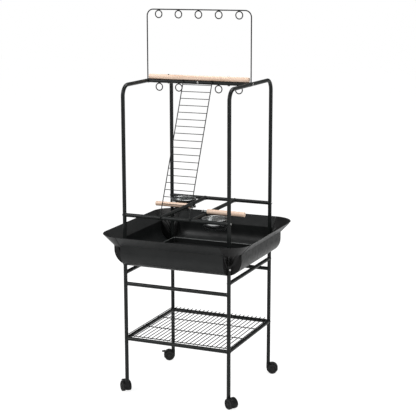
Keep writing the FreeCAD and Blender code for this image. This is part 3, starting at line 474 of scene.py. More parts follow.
def end_tree(tree, source, material_socket):
    """Realize Instances, Set Material and the output."""
    realize = tree.nodes.new("GeometryNodeRealizeInstances")
    paint = tree.nodes.new("GeometryNodeSetMaterial")
    group_out = tree.nodes.new("NodeGroupOutput")
    tree.links.new(source, realize.inputs["Geometry"])
    tree.links.new(realize.outputs["Geometry"], paint.inputs["Geometry"])
    tree.links.new(material_socket, paint.inputs["Material"])
    tree.links.new(paint.outputs["Geometry"], group_out.inputs["Geometry"])


row_tree, nodes, links = new_tree("row_of_pieces", [
    ("Piece", "NodeSocketObject"), ("Start", "NodeSocketVector"), ("Step", "NodeSocketVector"),
    ("Count", "NodeSocketInt"), ("Finish", "NodeSocketMaterial")])
group_in = nodes.new("NodeGroupInput")
line = nodes.new("GeometryNodeMeshLine")
line.mode = "OFFSET"
info = nodes.new("GeometryNodeObjectInfo")
place = nodes.new("GeometryNodeInstanceOnPoints")
links.new(group_in.outputs["Piece"], info.inputs["Object"])
links.new(group_in.outputs["Count"], line.inputs["Count"])
links.new(group_in.outputs["Start"], line.inputs["Start Location"])
links.new(group_in.outputs["Step"], line.inputs["Offset"])
links.new(line.outputs["Mesh"], place.inputs["Points"])
links.new(info.outputs["Geometry"], place.inputs["Instance"])
end_tree(row_tree, place.outputs["Instances"], group_in.outputs["Finish"])

# %% Tree: set on turned points
point_tree, nodes, links = new_tree("pieces_on_points", [
    ("Piece", "NodeSocketObject"), ("Finish", "NodeSocketMaterial")])
group_in = nodes.new("NodeGroupInput")
info = nodes.new("GeometryNodeObjectInfo")
turn = nodes.new("GeometryNodeInputNamedAttribute")
turn.data_type = "FLOAT_VECTOR"
turn.inputs["Name"].default_value = "turn"
place = nodes.new("GeometryNodeInstanceOnPoints")
links.new(group_in.outputs["Geometry"], place.inputs["Points"])
links.new(group_in.outputs["Piece"], info.inputs["Object"])
links.new(info.outputs["Geometry"], place.inputs["Instance"])
links.new(turn.outputs["Attribute"], place.inputs["Rotation"])
end_tree(point_tree, place.outputs["Instances"], group_in.outputs["Finish"])
print(row_tree.name, point_tree.name)


# %% Helper: run a tree and keep the mesh
def run_tree(title, tree, template, carrier_mesh, values, material):
    """Evaluate the tree once and return its result as a plain mesh."""
    carrier = bpy.data.objects.new(title + "_carrier", carrier_mesh)
    source = bpy.data.objects.new(title + "_template", template)
    for item in (carrier, source):
        bpy.context.scene.collection.objects.link(item)
    modifier = carrier.modifiers.new("pattern", "NODES")
    modifier.node_group = tree
    values = dict(values, Piece=source, Finish=material)
    for item in tree.interface.items_tree:
        if item.in_out == "INPUT" and item.name in values:
            modifier[item.identifier] = values[item.name]
    bpy.context.view_layer.update()
    graph = bpy.context.evaluated_depsgraph_get()
    mesh = bpy.data.meshes.new_from_object(carrier.evaluated_get(graph))
    mesh.name = title
    carrier.modifiers.remove(modifier)
    bpy.data.objects.remove(carrier)
    bpy.data.objects.remove(source)
    return mesh


def in_a_row(title, template, start, step, count, material):
    """The template repeated along a line."""
    return run_tree(title, row_tree, template, bpy.data.meshes.new(title + "_row"),
                    {"Start": Vector(start), "Step": Vector(step), "Count": count}, material)


def on_points(title, template, spots, material):
    """The template on each (point, direction of its Z, twist about it)."""
    mesh = bpy.data.meshes.new(title + "_points")
    mesh.from_pydata([tuple(point) for point, direction, twist in spots], [], [])
    turns = mesh.attributes.new("turn", "FLOAT_VECTOR", "POINT")
    for index, (point, direction, twist) in enumerate(spots):
        turn = Vector(direction).normalized().to_track_quat("Z", "Y").to_matrix()
        turn = turn @ Matrix.Rotation(twist, 3, "Z")
        turns.data[index].vector = turn.to_euler()
    return run_tree(title, point_tree, template, mesh, {}, material)


# %% [markdown]
# ## Weld collars
# The rails are cut square and welded to the round uprights. The weld fills the hollow
# between the flat end and the round tube, so the collar follows that saddle. We build
# one collar along +Z and let the nodes set it on every joint.

# %% Weld collar
def collar_mesh():
    """Collar round a rail's end; Z points along the rail into the crossed tube."""
    sides = 40
    build = bmesh.new()
    rows = []
    for share, swell in ((-0.30, 0.0), (-0.12, 0.00035), (0.3, 0.0006), (0.75, 0.0007),
                         (1.0, 0.0013), (1.12, 0.0019), (1.2, 0.0012)):
        ring = []
        for k in range(sides):
            angle = 2 * math.pi * k / sides
            ripple = 0.00012 * math.sin(9 * angle + 3 * share)
            radius = TUBE_RADIUS + swell + ripple * (swell > 0)
            across = radius * math.cos(angle)
            along_post = radius * math.sin(angle)
            within = min(abs(across), TUBE_RADIUS * 0.985)
            saddle = min(TUBE_RADIUS - math.sqrt(TUBE_RADIUS ** 2 - within ** 2),
                         TUBE_RADIUS * 0.83)
            if share < 0:
                height = share * TUBE_RADIUS * 0.5
            else:
                height = saddle * min(share, 1.0) + max(share - 1, 0) * 0.001
            ring.append(build.verts.new((across, along_post, height)))
        rows.append(ring)
    for low, high in zip(rows, rows[1:]):
        for k in range(sides):
            after = (k + 1) % sides
            build.faces.new([low[k], low[after], high[after], high[k]])
    build.faces.new(rows[-1])
    build.faces.new(rows[0])
    bmesh.ops.recalc_face_normals(build, faces=build.faces)
    mesh = bpy.data.meshes.new("collar")
    build.to_mesh(mesh)
    build.free()
    for face in mesh.polygons:
        face.use_smooth = True
    return mesh


def twist_for(direction, post):
    """Twist that lays the collar's Y along the post."""
    base = Vector(direction).normalized().to_track_quat("Z", "Y").to_matrix()
    local = base.transposed() @ Vector(post)
    return math.atan2(local.y, local.x) - math.pi / 2


spots = []
joint = LEG_HALF - TUBE_RADIUS
UP = (0, 0, 1)
for height in (SHELF_BAR_HEIGHT, CROSS_BAR_HEIGHT):
    for side_y in (-1, 1):
        for side_x in (-1, 1):
            spots.append(((side_x * joint, side_y * LEG_HALF, height), (side_x, 0, 0), UP))
for height in (SHELF_BAR_HEIGHT, SIDE_BAR_HEIGHT):
    for side_x in (-1, 1):
        for side_y in (-1, 1):
            spots.append(((side_x * LEG_HALF, side_y * joint, height), (0, side_y, 0), UP))
for side_x in (-1, 1):
    for side_y in (-1, 1):
        spots.append(((side_x * joint, side_y * LEG_HALF, RAIL_HEIGHT), (side_x, 0, 0), UP))
        spots.append(((side_x * PLATFORM_BAR_OFFSET, side_y * joint, RAIL_HEIGHT),
                      (0, side_y, 0), (1, 0, 0)))
    spots.append(((side_x * joint, 0, PERCH_BAR_HEIGHT), (side_x, 0, 0), (0, 1, 0)))
spots = [(point, direction, twist_for(direction, post)) for point, direction, post in spots]
collars = add_piece("weld_collars", on_points("weld_collars", collar_mesh(), spots, frame_coat),
                    frame_coat)
stand_for(collars, "frame", "frame_black")
print(len(spots), "welded joints")

# %% [markdown]
# ## Toy hoop and toy rings
# The hoop is one 5 mm wire, bent twice, whose ends stand in the side hoops. The rings
# are closed wires spot-welded under it and under the perch bar. One ring is enough: the
# row tree repeats it every 90 mm. Thin dark wires fade in a small picture, so the rings,
# the ladder's rungs and the shelf's long wires are 0.4 to 0.6 mm thicker here than in
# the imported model.

# %% Toy hoop
TOY_WIRE_RADIUS = 0.0025
TOY_AXIS_HEIGHT = 1.6015
TOY_SEAT_HEIGHT = PERCH_BAR_HEIGHT + 0.0032
TOY_BEND = 0.0275
hoop_path = bent([(-LEG_HALF, 0, TOY_SEAT_HEIGHT), (-LEG_HALF, 0, TOY_AXIS_HEIGHT),
                  (LEG_HALF, 0, TOY_AXIS_HEIGHT), (LEG_HALF, 0, TOY_SEAT_HEIGHT)], TOY_BEND, 14)
toy_hoop = add_piece("toy_hoop_wire", wire("toy_hoop_wire", hoop_path, TOY_WIRE_RADIUS, 14),
                     frame_coat)
stand_for(toy_hoop, "frame", "frame_black", "toy_hoop")

# %% Toy rings
RING_PITCH = 0.090
RING_RADIUS = 0.015
RING_WIRE_RADIUS = 0.0023
RING_STEPS = 48
UPPER_RING_DROP = 0.0195
LOWER_RING_DROP = 0.0250
circle = [(RING_RADIUS * math.sin(2 * math.pi * k / RING_STEPS), 0,
           RING_RADIUS * math.cos(2 * math.pi * k / RING_STEPS)) for k in range(RING_STEPS)]
ring = wire("toy_ring", circle, RING_WIRE_RADIUS, 12, cyclic=True)
weld = turned("ring_weld", [(0, -0.0010), (0.0013, -0.0007), (0.0019, 0.0), (0.0014, 0.0009),
                            (0, 0.0012)], 14, Matrix.Translation((0, 0, 0.0168)))
one_ring = joined("toy_ring_welded", [ring, weld])
upper = in_a_row("upper_rings", one_ring, (-2 * RING_PITCH, 0, TOY_AXIS_HEIGHT - UPPER_RING_DROP),
                 (RING_PITCH, 0, 0), 5, frame_coat)
lower = [in_a_row("lower_rings", one_ring, (x, 0, PERCH_BAR_HEIGHT - LOWER_RING_DROP),
                  (RING_PITCH, 0, 0), 2, frame_coat) for x in (-2 * RING_PITCH, RING_PITCH)]
toy_rings = add_piece("toy_rings_welded", joined("toy_rings_welded", [upper] + lower), frame_coat)
stand_for(toy_rings, "frame", "frame_black", "toy_rings")

# %% [markdown]
# ## Ladder
# Two side wires end in hooks: a large one that turns round the perch bar, and a short
# drop in front of the lower rail. The rungs are thinner wires laid across and welded.
# The side wires follow a path, and the rungs are one wire repeated down the slope.

# %% Ladder side wires
LADDER_HALF = 0.065
LADDER_WIRE_RADIUS = 0.002
HOOK_RADIUS = 0.0104
LOWER_HOOK_DROP = 0.014
foot = Vector((0, -(LEG_HALF + HOOK_RADIUS), RAIL_HEIGHT + HOOK_RADIUS))
away = Vector((0, 0, PERCH_BAR_HEIGHT)) - foot
lean = math.atan2(away.z, away.y) + math.asin(HOOK_RADIUS / away.length)
run = math.sqrt(away.length ** 2 - HOOK_RADIUS ** 2)
hook_start = foot + Vector((0, run * math.cos(lean), run * math.sin(lean)))
down = (foot - hook_start).normalized()
first_angle = math.atan2(hook_start.z - PERCH_BAR_HEIGHT, hook_start.y)
hook_arc = [Vector((0, HOOK_RADIUS * math.cos(first_angle - math.radians(turn)),
                    PERCH_BAR_HEIGHT + HOOK_RADIUS * math.sin(first_angle - math.radians(turn))))
            for turn in range(200, 0, -8)]
lower_bend = bent([hook_start, foot, foot - Vector((0, 0, LOWER_HOOK_DROP))], 0.004, 6)
side_wires = []
for side in (-1, 1):
    shift = Vector((side * LADDER_HALF, 0, 0))
    side_wires.append(wire("ladder_side", [p + shift for p in hook_arc + lower_bend],
                           LADDER_WIRE_RADIUS, 12))

# %% Ladder rungs
RUNG_WIRE_RADIUS = 0.0015
RUNG_PITCH = 0.030
FIRST_RUNG = 0.015
rung = wire("rung", [(-LADDER_HALF - 0.001, 0, 0), (LADDER_HALF + 0.001, 0, 0)],
            RUNG_WIRE_RADIUS, 10)
blob = [(0, -0.0015), (0.0015, -0.0012), (0.0023, 0), (0.0015, 0.0012), (0, 0.0015)]
blobs = [turned("rung_weld", blob, 12, standing((side * (LADDER_HALF - 0.0006), 0, 0), (1, 0, 0)))
         for side in (-1, 1)]
rung = joined("rung_welded", [rung] + blobs)
rung_count = int((run - FIRST_RUNG) // RUNG_PITCH)
rungs = in_a_row("rungs", rung, hook_start + down * FIRST_RUNG, down * RUNG_PITCH, rung_count,
                 frame_coat)
ladder = add_piece("ladder_wires", joined("ladder_wires", side_wires + [rungs]), frame_coat)
stand_for(ladder, "ladder", "frame_black", "ladder_side_wires", "ladder_rungs")
print(rung_count, "rungs")

# %% [markdown]
# ## Wire shelf
# Long wires run from front to rear and end past the shelf bars. They lie on four cross
# wires and are welded at every crossing. The wires beside the legs are shorter.

# %% Wire shelf
CROSS_HEIGHT = 0.2483
CROSS_OFFSET = 0.074
CROSS_WIRE_RADIUS = 0.002
SHELF_WIRE_HEIGHT = CROSS_HEIGHT + 0.00305
SHELF_WIRE_RADIUS = 0.0018
LONG_WIRES = 23
LONG_END = LEG_HALF + 0.006
SHORT_END = LEG_HALF - TUBE_RADIUS - 0.0016
SHELF_PITCH = 2 * LEG_HALF / (LONG_WIRES + 1)
cross_rows = (-SHORT_END, -CROSS_OFFSET, CROSS_OFFSET, SHORT_END)
long_wire = wire("shelf_wire", [(0, -LONG_END, SHELF_WIRE_HEIGHT),
                                (0, LONG_END, SHELF_WIRE_HEIGHT)], SHELF_WIRE_RADIUS, 8)
blob = [(0, -0.0010), (0.0021, -0.0007), (0.0024, 0), (0.0014, 0.0010), (0, 0.0014)]
crossing = [turned("shelf_weld", blob, 8, Matrix.Translation((0, y, CROSS_HEIGHT + 0.0014)))
            for y in cross_rows]
long_wire = joined("shelf_wire_welded", [long_wire] + crossing)
shelf_parts = [in_a_row("shelf_wires", long_wire, (-LEG_HALF + SHELF_PITCH, 0, 0),
                        (SHELF_PITCH, 0, 0), LONG_WIRES, frame_coat)]
for side in (-1, 1):
    shelf_parts.append(wire("short_wire", [(side * LEG_HALF, -SHORT_END, SHELF_WIRE_HEIGHT),
                                           (side * LEG_HALF, SHORT_END, SHELF_WIRE_HEIGHT)],
                            SHELF_WIRE_RADIUS, 8))
for y in cross_rows:
    reach = LEG_HALF if abs(y) < SHORT_END else SHORT_END
    shelf_parts.append(wire("cross_wire", [(-reach, y, CROSS_HEIGHT), (reach, y, CROSS_HEIGHT)],
                            CROSS_WIRE_RADIUS, 12))
shelf = add_piece("shelf_wires", joined("shelf_wires", shelf_parts), frame_coat)
stand_for(shelf, "shelf_grid", "frame_black", "shelf_grid")

# %% [markdown]
# ## Cups and their holders
# A cup is spun from thin steel: a flat bottom, a rounded bowl and a rolled rim that
# hangs in the ring. We spin one closed section, so the sheet has a real thickness. The
# holder is a thick ring, a thin one below, and four bent uprights.

# %% Cups
def cup_section():
    """Closed section of the spun cup, from the bottom's middle outside to inside."""
    bowl = []
    for step in range(13):
        share = step / 12
        angle = math.pi / 2 * share
        bowl.append((0.0315 + 0.0200 * math.sin(angle), -0.0420 + 0.0290 * (1 - math.cos(angle))))
    outside = [(0, -0.0414), (0.026, -0.0414), (0.0285, -0.0420)] + bowl + [(0.0515, -0.0008)]
    rim = [(0.0522, 0.0), (0.0548, 0.0), (0.0558, 0.0004), (0.0560, 0.0009), (0.0556, 0.0014),
           (0.0546, 0.0016), (0.0522, 0.0016), (0.0511, 0.0012), (0.0507, 0.0004)]
    inside = [(0.0507, -0.0008)]
    inside += [(radius - 0.0008, height + 0.0005) for radius, height in reversed(bowl)]
    inside += [(0.0285, -0.0412), (0.026, -0.0406), (0, -0.0406)]
    return outside + rim + inside


RIM_HEIGHT = RAIL_HEIGHT + 0.0028
CUP_CENTRES = {"left": (-0.1475, 0.168), "right": (0.1475, -0.168)}
for side, (x, y) in CUP_CENTRES.items():
    spun = turned(side + "_cup_spun", cup_section(), 72, Matrix.Translation((x, y, RIM_HEIGHT)))
    cup = add_piece(side + "_cup_spun", outward(spun), spun_steel, 50)
    stand_for(cup, side + "_cup", "cup_steel", side + "_cup")

# %% Cup holders
HOLDER_RADIUS = 0.0545
HOLDER_FOOT_RADIUS = 0.0405
HOLDER_WIRE_RADIUS = 0.0025
CRADLE_WIRE_RADIUS = 0.0015
HOLDER_DROP = 0.0413


def round_ring(title, centre, radius, wire_radius, sides):
    """Closed wire ring lying flat."""
    path = [Vector(centre) + Vector((radius * math.cos(2 * math.pi * k / 72),
                                     radius * math.sin(2 * math.pi * k / 72), 0))
            for k in range(72)]
    return wire(title, path, wire_radius, sides, cyclic=True)


def holder_mesh(x, y):
    """Top ring, bottom ring, four uprights and the weld to the rail."""
    low = RAIL_HEIGHT - HOLDER_DROP
    parts = [round_ring("top_ring", (x, y, RAIL_HEIGHT), HOLDER_RADIUS, HOLDER_WIRE_RADIUS, 14),
             round_ring("bottom_ring", (x, y, low), HOLDER_FOOT_RADIUS, CRADLE_WIRE_RADIUS, 10)]
    for quarter in range(4):
        angle = math.radians(45 + 90 * quarter)
        out = Vector((math.cos(angle), math.sin(angle), 0))
        base = Vector((x, y, 0))
        path = bent([base + out * HOLDER_RADIUS + Vector((0, 0, RAIL_HEIGHT)),
                     base + out * HOLDER_RADIUS + Vector((0, 0, low)),
                     base + out * HOLDER_FOOT_RADIUS + Vector((0, 0, low))], 0.0045, 6)
        parts.append(wire("upright", path, CRADLE_WIRE_RADIUS, 10))
        parts.append(turned("upright_weld", [(0, -0.0024), (0.0022, -0.0014), (0.0026, 0),
                                             (0.0016, 0.0012), (0, 0.0016)], 12,
                            Matrix.Translation(base + out * 0.0547
                                               + Vector((0, 0, RAIL_HEIGHT - 0.0022)))))
    back = 1 if y > 0 else -1
    parts.append(turned("rail_weld", [(0, -0.007), (0.0016, -0.0055), (0.0028, -0.002),
                                      (0.0028, 0.002), (0.0016, 0.0055), (0, 0.007)], 14,
                        standing((x, y + back * 0.0568, RAIL_HEIGHT + 0.0012), (1, 0, 0))))
    return joined("holder", parts)


for side, (x, y) in CUP_CENTRES.items():
    holder = add_piece(side + "_holder_wires", holder_mesh(x, y), frame_coat)
    stand_for(holder, "frame", "frame_black", side + "_cup_holder")

# %% [markdown]
# ## Screws and perch bolts
# The frame is held by pan-head screws with a hexagon socket. Their places and
# directions are listed, and the point tree sets one screw on each of them.

# %% Helper: a hexagon out of a circle
def six_sided(mesh, inner, outer, across):
    """Move the points between two radii onto a hexagon with flats at that distance."""
    for vertex in mesh.vertices:
        radius = math.hypot(vertex.co.x, vertex.co.y)
        if inner < radius < outer:
            angle = math.atan2(vertex.co.y, vertex.co.x) % (math.pi / 3) - math.pi / 6
            flat = across / math.cos(angle) / radius
            vertex.co.x *= flat
            vertex.co.y *= flat
    return outward(mesh)


# %% Screws
CORNER_SCREW_HEIGHT = 0.585
COLLAR_RADIUS = 0.0103


def socket_screw():
    """Pan head on the plane Z = 0 with a hexagon socket, and a short shank below."""
    profile = [(0, 0.0010), (0.0014, 0.0010), (0.0015, 0.0022), (0.0017, 0.0024),
               (0.0031, 0.0024), (0.0040, 0.0019), (0.0045, 0.0009), (0.0045, 0.0),
               (0.0025, 0.0), (0.0025, -0.004), (0, -0.004)]
    return six_sided(turned("screw", profile, 36), 0.001, 0.0016, 0.00125)


screw_spots = []
for side_x in (-1, 1):
    for side_y in (-1, 1):
        out = Vector((side_x, side_y, 0)).normalized()
        corner = Vector((side_x * LEG_HALF, side_y * LEG_HALF, CORNER_SCREW_HEIGHT))
        screw_spots.append((corner + out * COLLAR_RADIUS, out, 0.4))
        screw_spots.append(((side_x * (LEG_HALF + TUBE_RADIUS), side_y * LEG_HALF, RAIL_HEIGHT),
                            (side_x, 0, 0), 0.9))
    screw_spots.append(((side_x * (LEG_HALF + TUBE_RADIUS), 0, PERCH_BAR_HEIGHT),
                        (side_x, 0, 0), 0.2))
screw_spots.append(((0, -TUBE_RADIUS, PERCH_BAR_HEIGHT), (0, -1, 0), 0.5))
screw_heads = add_piece("screw_heads", on_points("screw_heads", socket_screw(), screw_spots,
                                                 plated_steel), plated_steel, 30)
stand_for(screw_heads, "frame", "fastener_steel", "frame_screws")

# %% Perch bolts
PERCH_DIAMETER = 0.020
PERCH_TOP = PERCH_BAR_HEIGHT + TUBE_RADIUS + PERCH_DIAMETER
PERCH_BOLT_OFFSET = 0.135


def hexagon_nut():
    """Nut with chamfered corners round the bolt, hanging below Z = 0."""
    mesh = turned("nut", [(0.0025, 0), (0.0044, 0), (0.0050, -0.0005), (0.0050, -0.0025),
                          (0.0044, -0.0030), (0.0025, -0.0030)], 36, closed=True)
    return six_sided(mesh, 0.0046, math.inf, 0.00433)


bolt = turned("bolt", [(0, 0.0030), (0.0012, 0.0029), (0.0030, 0.0023), (0.0044, 0.0010),
                       (0.0050, 0.0), (0.0025, 0.0), (0.0025, -0.0336), (0.0021, -0.0340),
                       (0, -0.0340)], 36)
nut = hexagon_nut()
nut.transform(Matrix.Translation((0, 0, PERCH_BAR_HEIGHT - TUBE_RADIUS - PERCH_TOP)))
bolt_spots = [((side * PERCH_BOLT_OFFSET, 0, PERCH_TOP), (0, 0, 1), 0.3 * side)
              for side in (-1, 1)]
bolts = add_piece("perch_bolts", on_points("perch_bolts", joined("bolt_and_nut", [bolt, nut]),
                                           bolt_spots, plated_steel), plated_steel, 30)
stand_for(bolts, "frame", "fastener_steel", "top_perch_bolts")

# %% [markdown]
# ## Moulded corners
# Each corner of the seed guard is a moulded funnel. Its rim continues the flare of the
# panels, and below the kink the wall is gathered in pleats that meet at the leg. The
# pleats deepen and fade again on the way down, so the wall is built row by row. A flat
# cheek on each side reaches to the end of the panel, and a collar goes round the leg.

# %% Corner sizes
# ROUND_... is the quarter round of the panels, which the cheeks follow.
CORNER_GAP = 0.0003
CORNER_WALL = 0.0016
GUARD_NECK = 0.286
CORNER_RIM = GUARD_REACH - PANEL_HALF - CORNER_GAP
CORNER_NECK = GUARD_NECK - PANEL_HALF - CORNER_GAP
CORNER_FOOT = 0.0163
LEG_SHIFT = LEG_HALF - PANEL_HALF
ROUND_RADIUS = 0.063
ROUND_CENTRE = 0.223 - PANEL_HALF
ROUND_HEIGHT = 0.620
GUARD_TOP = 0.693
KINK = 0.651
FUNNEL_END = 0.594
PLEATS = 4
PLEAT_DEPTH = 0.0125
ARC_STEPS = 64
CHEEK_STEPS = 4
FLARE_ROWS = 6
FUNNEL_ROWS = 22


# %% Corner rows
def panel_outline(height):
    """Distance of the panel's outside from its end plane's origin, at that height."""
    if height >= ROUND_HEIGHT:
        return CORNER_NECK
    return ROUND_CENTRE + math.sqrt(ROUND_RADIUS ** 2 - (ROUND_HEIGHT - height) ** 2) - CORNER_GAP


def corner_row(radius, height, depth, centre=0.0, first=0.0, last=90.0, cheek=0.0):
    """One row: cheek, quarter turn with pleats, cheek."""
    arc = []
    for step in range(ARC_STEPS + 1):
        share = step / ARC_STEPS
        angle = math.radians(first + (last - first) * share)
        fold = (0.5 - 0.5 * math.cos(2 * math.pi * PLEATS * share)) ** 0.75
        pulled = radius - depth * fold
        arc.append(Vector((centre + pulled * math.cos(angle),
                           centre + pulled * math.sin(angle), height)))
    before = [arc[0].lerp(Vector((cheek, 0, height)), 1 - k / CHEEK_STEPS) if cheek else arc[0]
              for k in range(CHEEK_STEPS)]
    after = [arc[-1].lerp(Vector((0, cheek, height)), (k + 1) / CHEEK_STEPS) if cheek
             else arc[-1] for k in range(CHEEK_STEPS)]
    return before + arc + after


def corner_rows():
    """Rows from the flared rim to the lower end of the collar."""
    rows = []
    for step in range(FLARE_ROWS):
        share = step / FLARE_ROWS
        rows.append(corner_row(CORNER_RIM + (CORNER_NECK - CORNER_RIM) * share,
                               GUARD_TOP + (KINK - GUARD_TOP) * share, 0.0))
    for step in range(FUNNEL_ROWS + 1):
        share = step / FUNNEL_ROWS
        height = KINK + (FUNNEL_END - KINK) * share
        radius = CORNER_NECK + (CORNER_FOOT - CORNER_NECK) * share
        swell = math.sin(math.pi * min(1.0, share * 1.05)) ** 0.8
        depth = min(PLEAT_DEPTH * swell, radius * 0.36)
        rows.append(corner_row(radius, height, depth, cheek=panel_outline(height)))
    collar = [(0.5915, 0.0028, 0.0128), (0.5895, LEG_SHIFT, 0.0104)]
    collar += [(height, LEG_SHIFT, COLLAR_RADIUS) for height in (0.580, 0.572, 0.566, 0.561)]
    for height, centre, radius in collar:
        turn = math.degrees(math.asin(min(1, centre / radius)))
        rows.append(corner_row(radius, height, 0.0, centre, -turn, 90 + turn,
                               cheek=panel_outline(height)))
    return rows


# %% Corner mesh
def corner_mesh():
    """Thin wall with a real thickness, in the corner's own place."""
    build = bmesh.new()
    grid = [[build.verts.new(point) for point in row] for row in corner_rows()]
    for upper, lower in zip(grid, grid[1:]):
        for k in range(len(upper) - 1):
            build.faces.new([lower[k], lower[k + 1], upper[k + 1], upper[k]])
    bmesh.ops.remove_doubles(build, verts=build.verts, dist=2e-6)
    bmesh.ops.dissolve_degenerate(build, edges=build.edges, dist=2e-6)
    mesh = bpy.data.meshes.new("corner_wall")
    build.to_mesh(mesh)
    build.free()
    shell = bpy.data.objects.new("corner_shell", mesh)
    bpy.context.scene.collection.objects.link(shell)
    solid = shell.modifiers.new("wall", "SOLIDIFY")
    solid.thickness = CORNER_WALL
    solid.offset = -1
    solid.use_even_offset = False
    bpy.context.view_layer.update()
    graph = bpy.context.evaluated_depsgraph_get()
    result = bpy.data.meshes.new_from_object(shell.evaluated_get(graph))
    bpy.data.objects.remove(shell)
    return result


RIB_RADIUS = 0.0015


def corner_ribs():
    """Rounded ribs along both flared ends, inside and outside of the wall."""
    ribs = []
    for inset in (0.0, 0.0020):
        rim_end = Vector((CORNER_RIM - 0.0026 - inset, 0.0016, GUARD_TOP - 0.0026))
        kink_end = Vector((CORNER_NECK + 0.0004 - inset, 0.0016, KINK + 0.0005))
        for flip in (False, True):
            ends = [Vector((p.y, p.x, p.z)) if flip else p for p in (rim_end, kink_end)]
            ribs.append(wire("corner_rib", ends, RIB_RADIUS, 12))
    return joined("corner_ribs", ribs)


CORNERS = (("rear_right", 0, 1, 1), ("rear_left", 90, -1, 1),
           ("front_left", 180, -1, -1), ("front_right", 270, 1, -1))
wall = corner_mesh()
rib_pair = corner_ribs()
all_ribs = []
for name, turn, side_x, side_y in CORNERS:
    place = (Matrix.Translation((side_x * PANEL_HALF, side_y * PANEL_HALF, 0))
             @ Matrix.Rotation(math.radians(turn), 4, "Z"))
    mesh = wall.copy()
    mesh.transform(place)
    ribs = rib_pair.copy()
    ribs.transform(place)
    all_ribs.append(ribs)
    corner = add_piece("pleated_corner_" + name, mesh, corner_plastic, 50)
    stand_for(corner, "frame", "corner_plastic", "guard_corner_" + name)

ribs = add_piece("corner_ribs", joined("corner_ribs", all_ribs), corner_plastic)
stand_for(ribs, "frame", "corner_plastic")

# %% [markdown]
# ## Hems of the seed guard
# Bare sheet edges would cut the bird and the owner, so the top edge of each panel is
# folded over. The fold shows as a thin rounded bead along the rim.

# %% Hems
HEM_RADIUS = 0.0010
hems = []
for turn in range(4):
    across = Matrix.Rotation(math.radians(90 * turn), 4, "Z")
    ends = [across @ Vector((GUARD_REACH - 0.0020, side * (PANEL_HALF - 0.0004),
                             GUARD_TOP - HEM_RADIUS)) for side in (-1, 1)]
    hems.append(wire("hem", ends, HEM_RADIUS, 10))
hem = add_piece("guard_hems", joined("guard_hems", hems), sheet_coat)
stand_for(hem, "frame", "guard_black")

# %% [markdown]
# ## Rim of the debris pan
# The pan's edge is rolled over a wire, so that it's stiff and safe to lift. The roll is
# a little glossier than the sheet, and its coat is painted far lighter than the sheet: a
# painted highlight that draws the bright line along the pan.

# %% Pan rim
PAN_HALF = 0.219
PAN_ROUND = 0.012
PAN_RIM_RADIUS = 0.0020
pan_high = max(v.co.z for v in frame["nodes"]["debris_pan"].data.vertices)
rim_path = []
for quarter in range(4):
    centre = Matrix.Rotation(math.radians(90 * quarter), 4, "Z") @ Vector(
        (PAN_HALF - PAN_ROUND, PAN_HALF - PAN_ROUND, pan_high - 0.0014))
    for step in range(7):
        angle = math.radians(90 * quarter + 15 * step)
        rim_path.append(centre + Vector((PAN_ROUND * math.cos(angle),
                                         PAN_ROUND * math.sin(angle), 0)))
# The rim's light colour is a painted highlight.
pan_rim = add_piece("pan_rim", wire("pan_rim", rim_path, PAN_RIM_RADIUS, 14, cyclic=True),
                    painted_highlight_rim_coat)
stand_for(pan_rim, "debris_pan", "guard_black")

# %% [markdown]
# ## Casters
# A caster is a twin-wheel type: a hooded housing with a wheel on each side. The shapes
# of the housings, of the brake levers and of the clamps under the side perches are
# right, but their edges are too crisp, so a merged copy gets a small bevel. The wheels
# are turned, with a grooved tread, spokes and a hub cap.

# %% Helper: soften a piece's edges
def softened(name, title, width, material):
    """Merged copy of a frame piece with rounded edges."""
    mesh = frame["nodes"][name].data.copy()
    build = bmesh.new()
    build.from_mesh(mesh)
    bmesh.ops.remove_doubles(build, verts=build.verts, dist=1e-6)
    bmesh.ops.dissolve_limit(build, angle_limit=math.radians(1), verts=build.verts,
                             edges=build.edges)
    build.to_mesh(mesh)
    build.free()
    piece = bpy.data.objects.new(title + "_base", mesh)
    bpy.context.scene.collection.objects.link(piece)
    bevel = piece.modifiers.new("edges", "BEVEL")
    bevel.width = width
    bevel.segments = 2
    bevel.limit_method = "ANGLE"
    bevel.angle_limit = math.radians(35)
    bevel.use_clamp_overlap = True
    bpy.context.view_layer.update()
    graph = bpy.context.evaluated_depsgraph_get()
    result = bpy.data.meshes.new_from_object(piece.evaluated_get(graph))
    bpy.data.objects.remove(piece)
    return add_piece(title, result, material, 45)


# %% Wheels
WHEEL_RADIUS = 0.0215
WHEEL_INNER = 0.0045
WHEEL_WIDTH = 0.015
CASTER_TRAIL = 0.018
SPOKES = 6
CASTERS = (("front_left", -1, -1, 136), ("front_right", 1, -1, 332),
           ("rear_left", -1, 1, 208), ("rear_right", 1, 1, 20))


def wheel_section():
    """Closed section of one wheel: bore, hub, dished face, shoulder and grooved tread."""
    width = WHEEL_WIDTH
    tread = []
    for groove in range(5):
        start = 0.0026 + groove * 0.0022
        tread += [(WHEEL_RADIUS, start), (WHEEL_RADIUS, start + 0.0012),
                  (WHEEL_RADIUS - 0.0005, start + 0.0015), (WHEEL_RADIUS - 0.0005, start + 0.0019)]
    tread = [point for point in tread if point[1] < width - 0.0024]
    return [(0.00305, 0.0), (0.0175, 0.0), (0.0185, 0.0004), (0.0201, 0.0004),
            (0.0211, 0.0010), (WHEEL_RADIUS, 0.0022)] + tread + [
            (WHEEL_RADIUS, width - 0.0022), (0.0211, width - 0.0008), (0.0199, width - 0.0001),
            (0.0166, width), (0.0158, width - 0.0006), (0.0153, width - 0.0026),
            (0.0105, width - 0.0030), (0.0078, width - 0.0026), (0.0072, width - 0.0010),
            (0.0060, width - 0.0004), (0.0040, width - 0.0003), (0.00305, width - 0.0010)]


CAP = [(0, WHEEL_WIDTH + 0.0007), (0.0025, WHEEL_WIDTH + 0.0006), (0.0038, WHEEL_WIDTH + 0.0003),
       (0.0042, WHEEL_WIDTH - 0.0001), (0.0042, WHEEL_WIDTH - 0.0007),
       (0.0034, WHEEL_WIDTH - 0.0007), (0.0034, WHEEL_WIDTH + 0.0001),
       (0, WHEEL_WIDTH + 0.0001)]

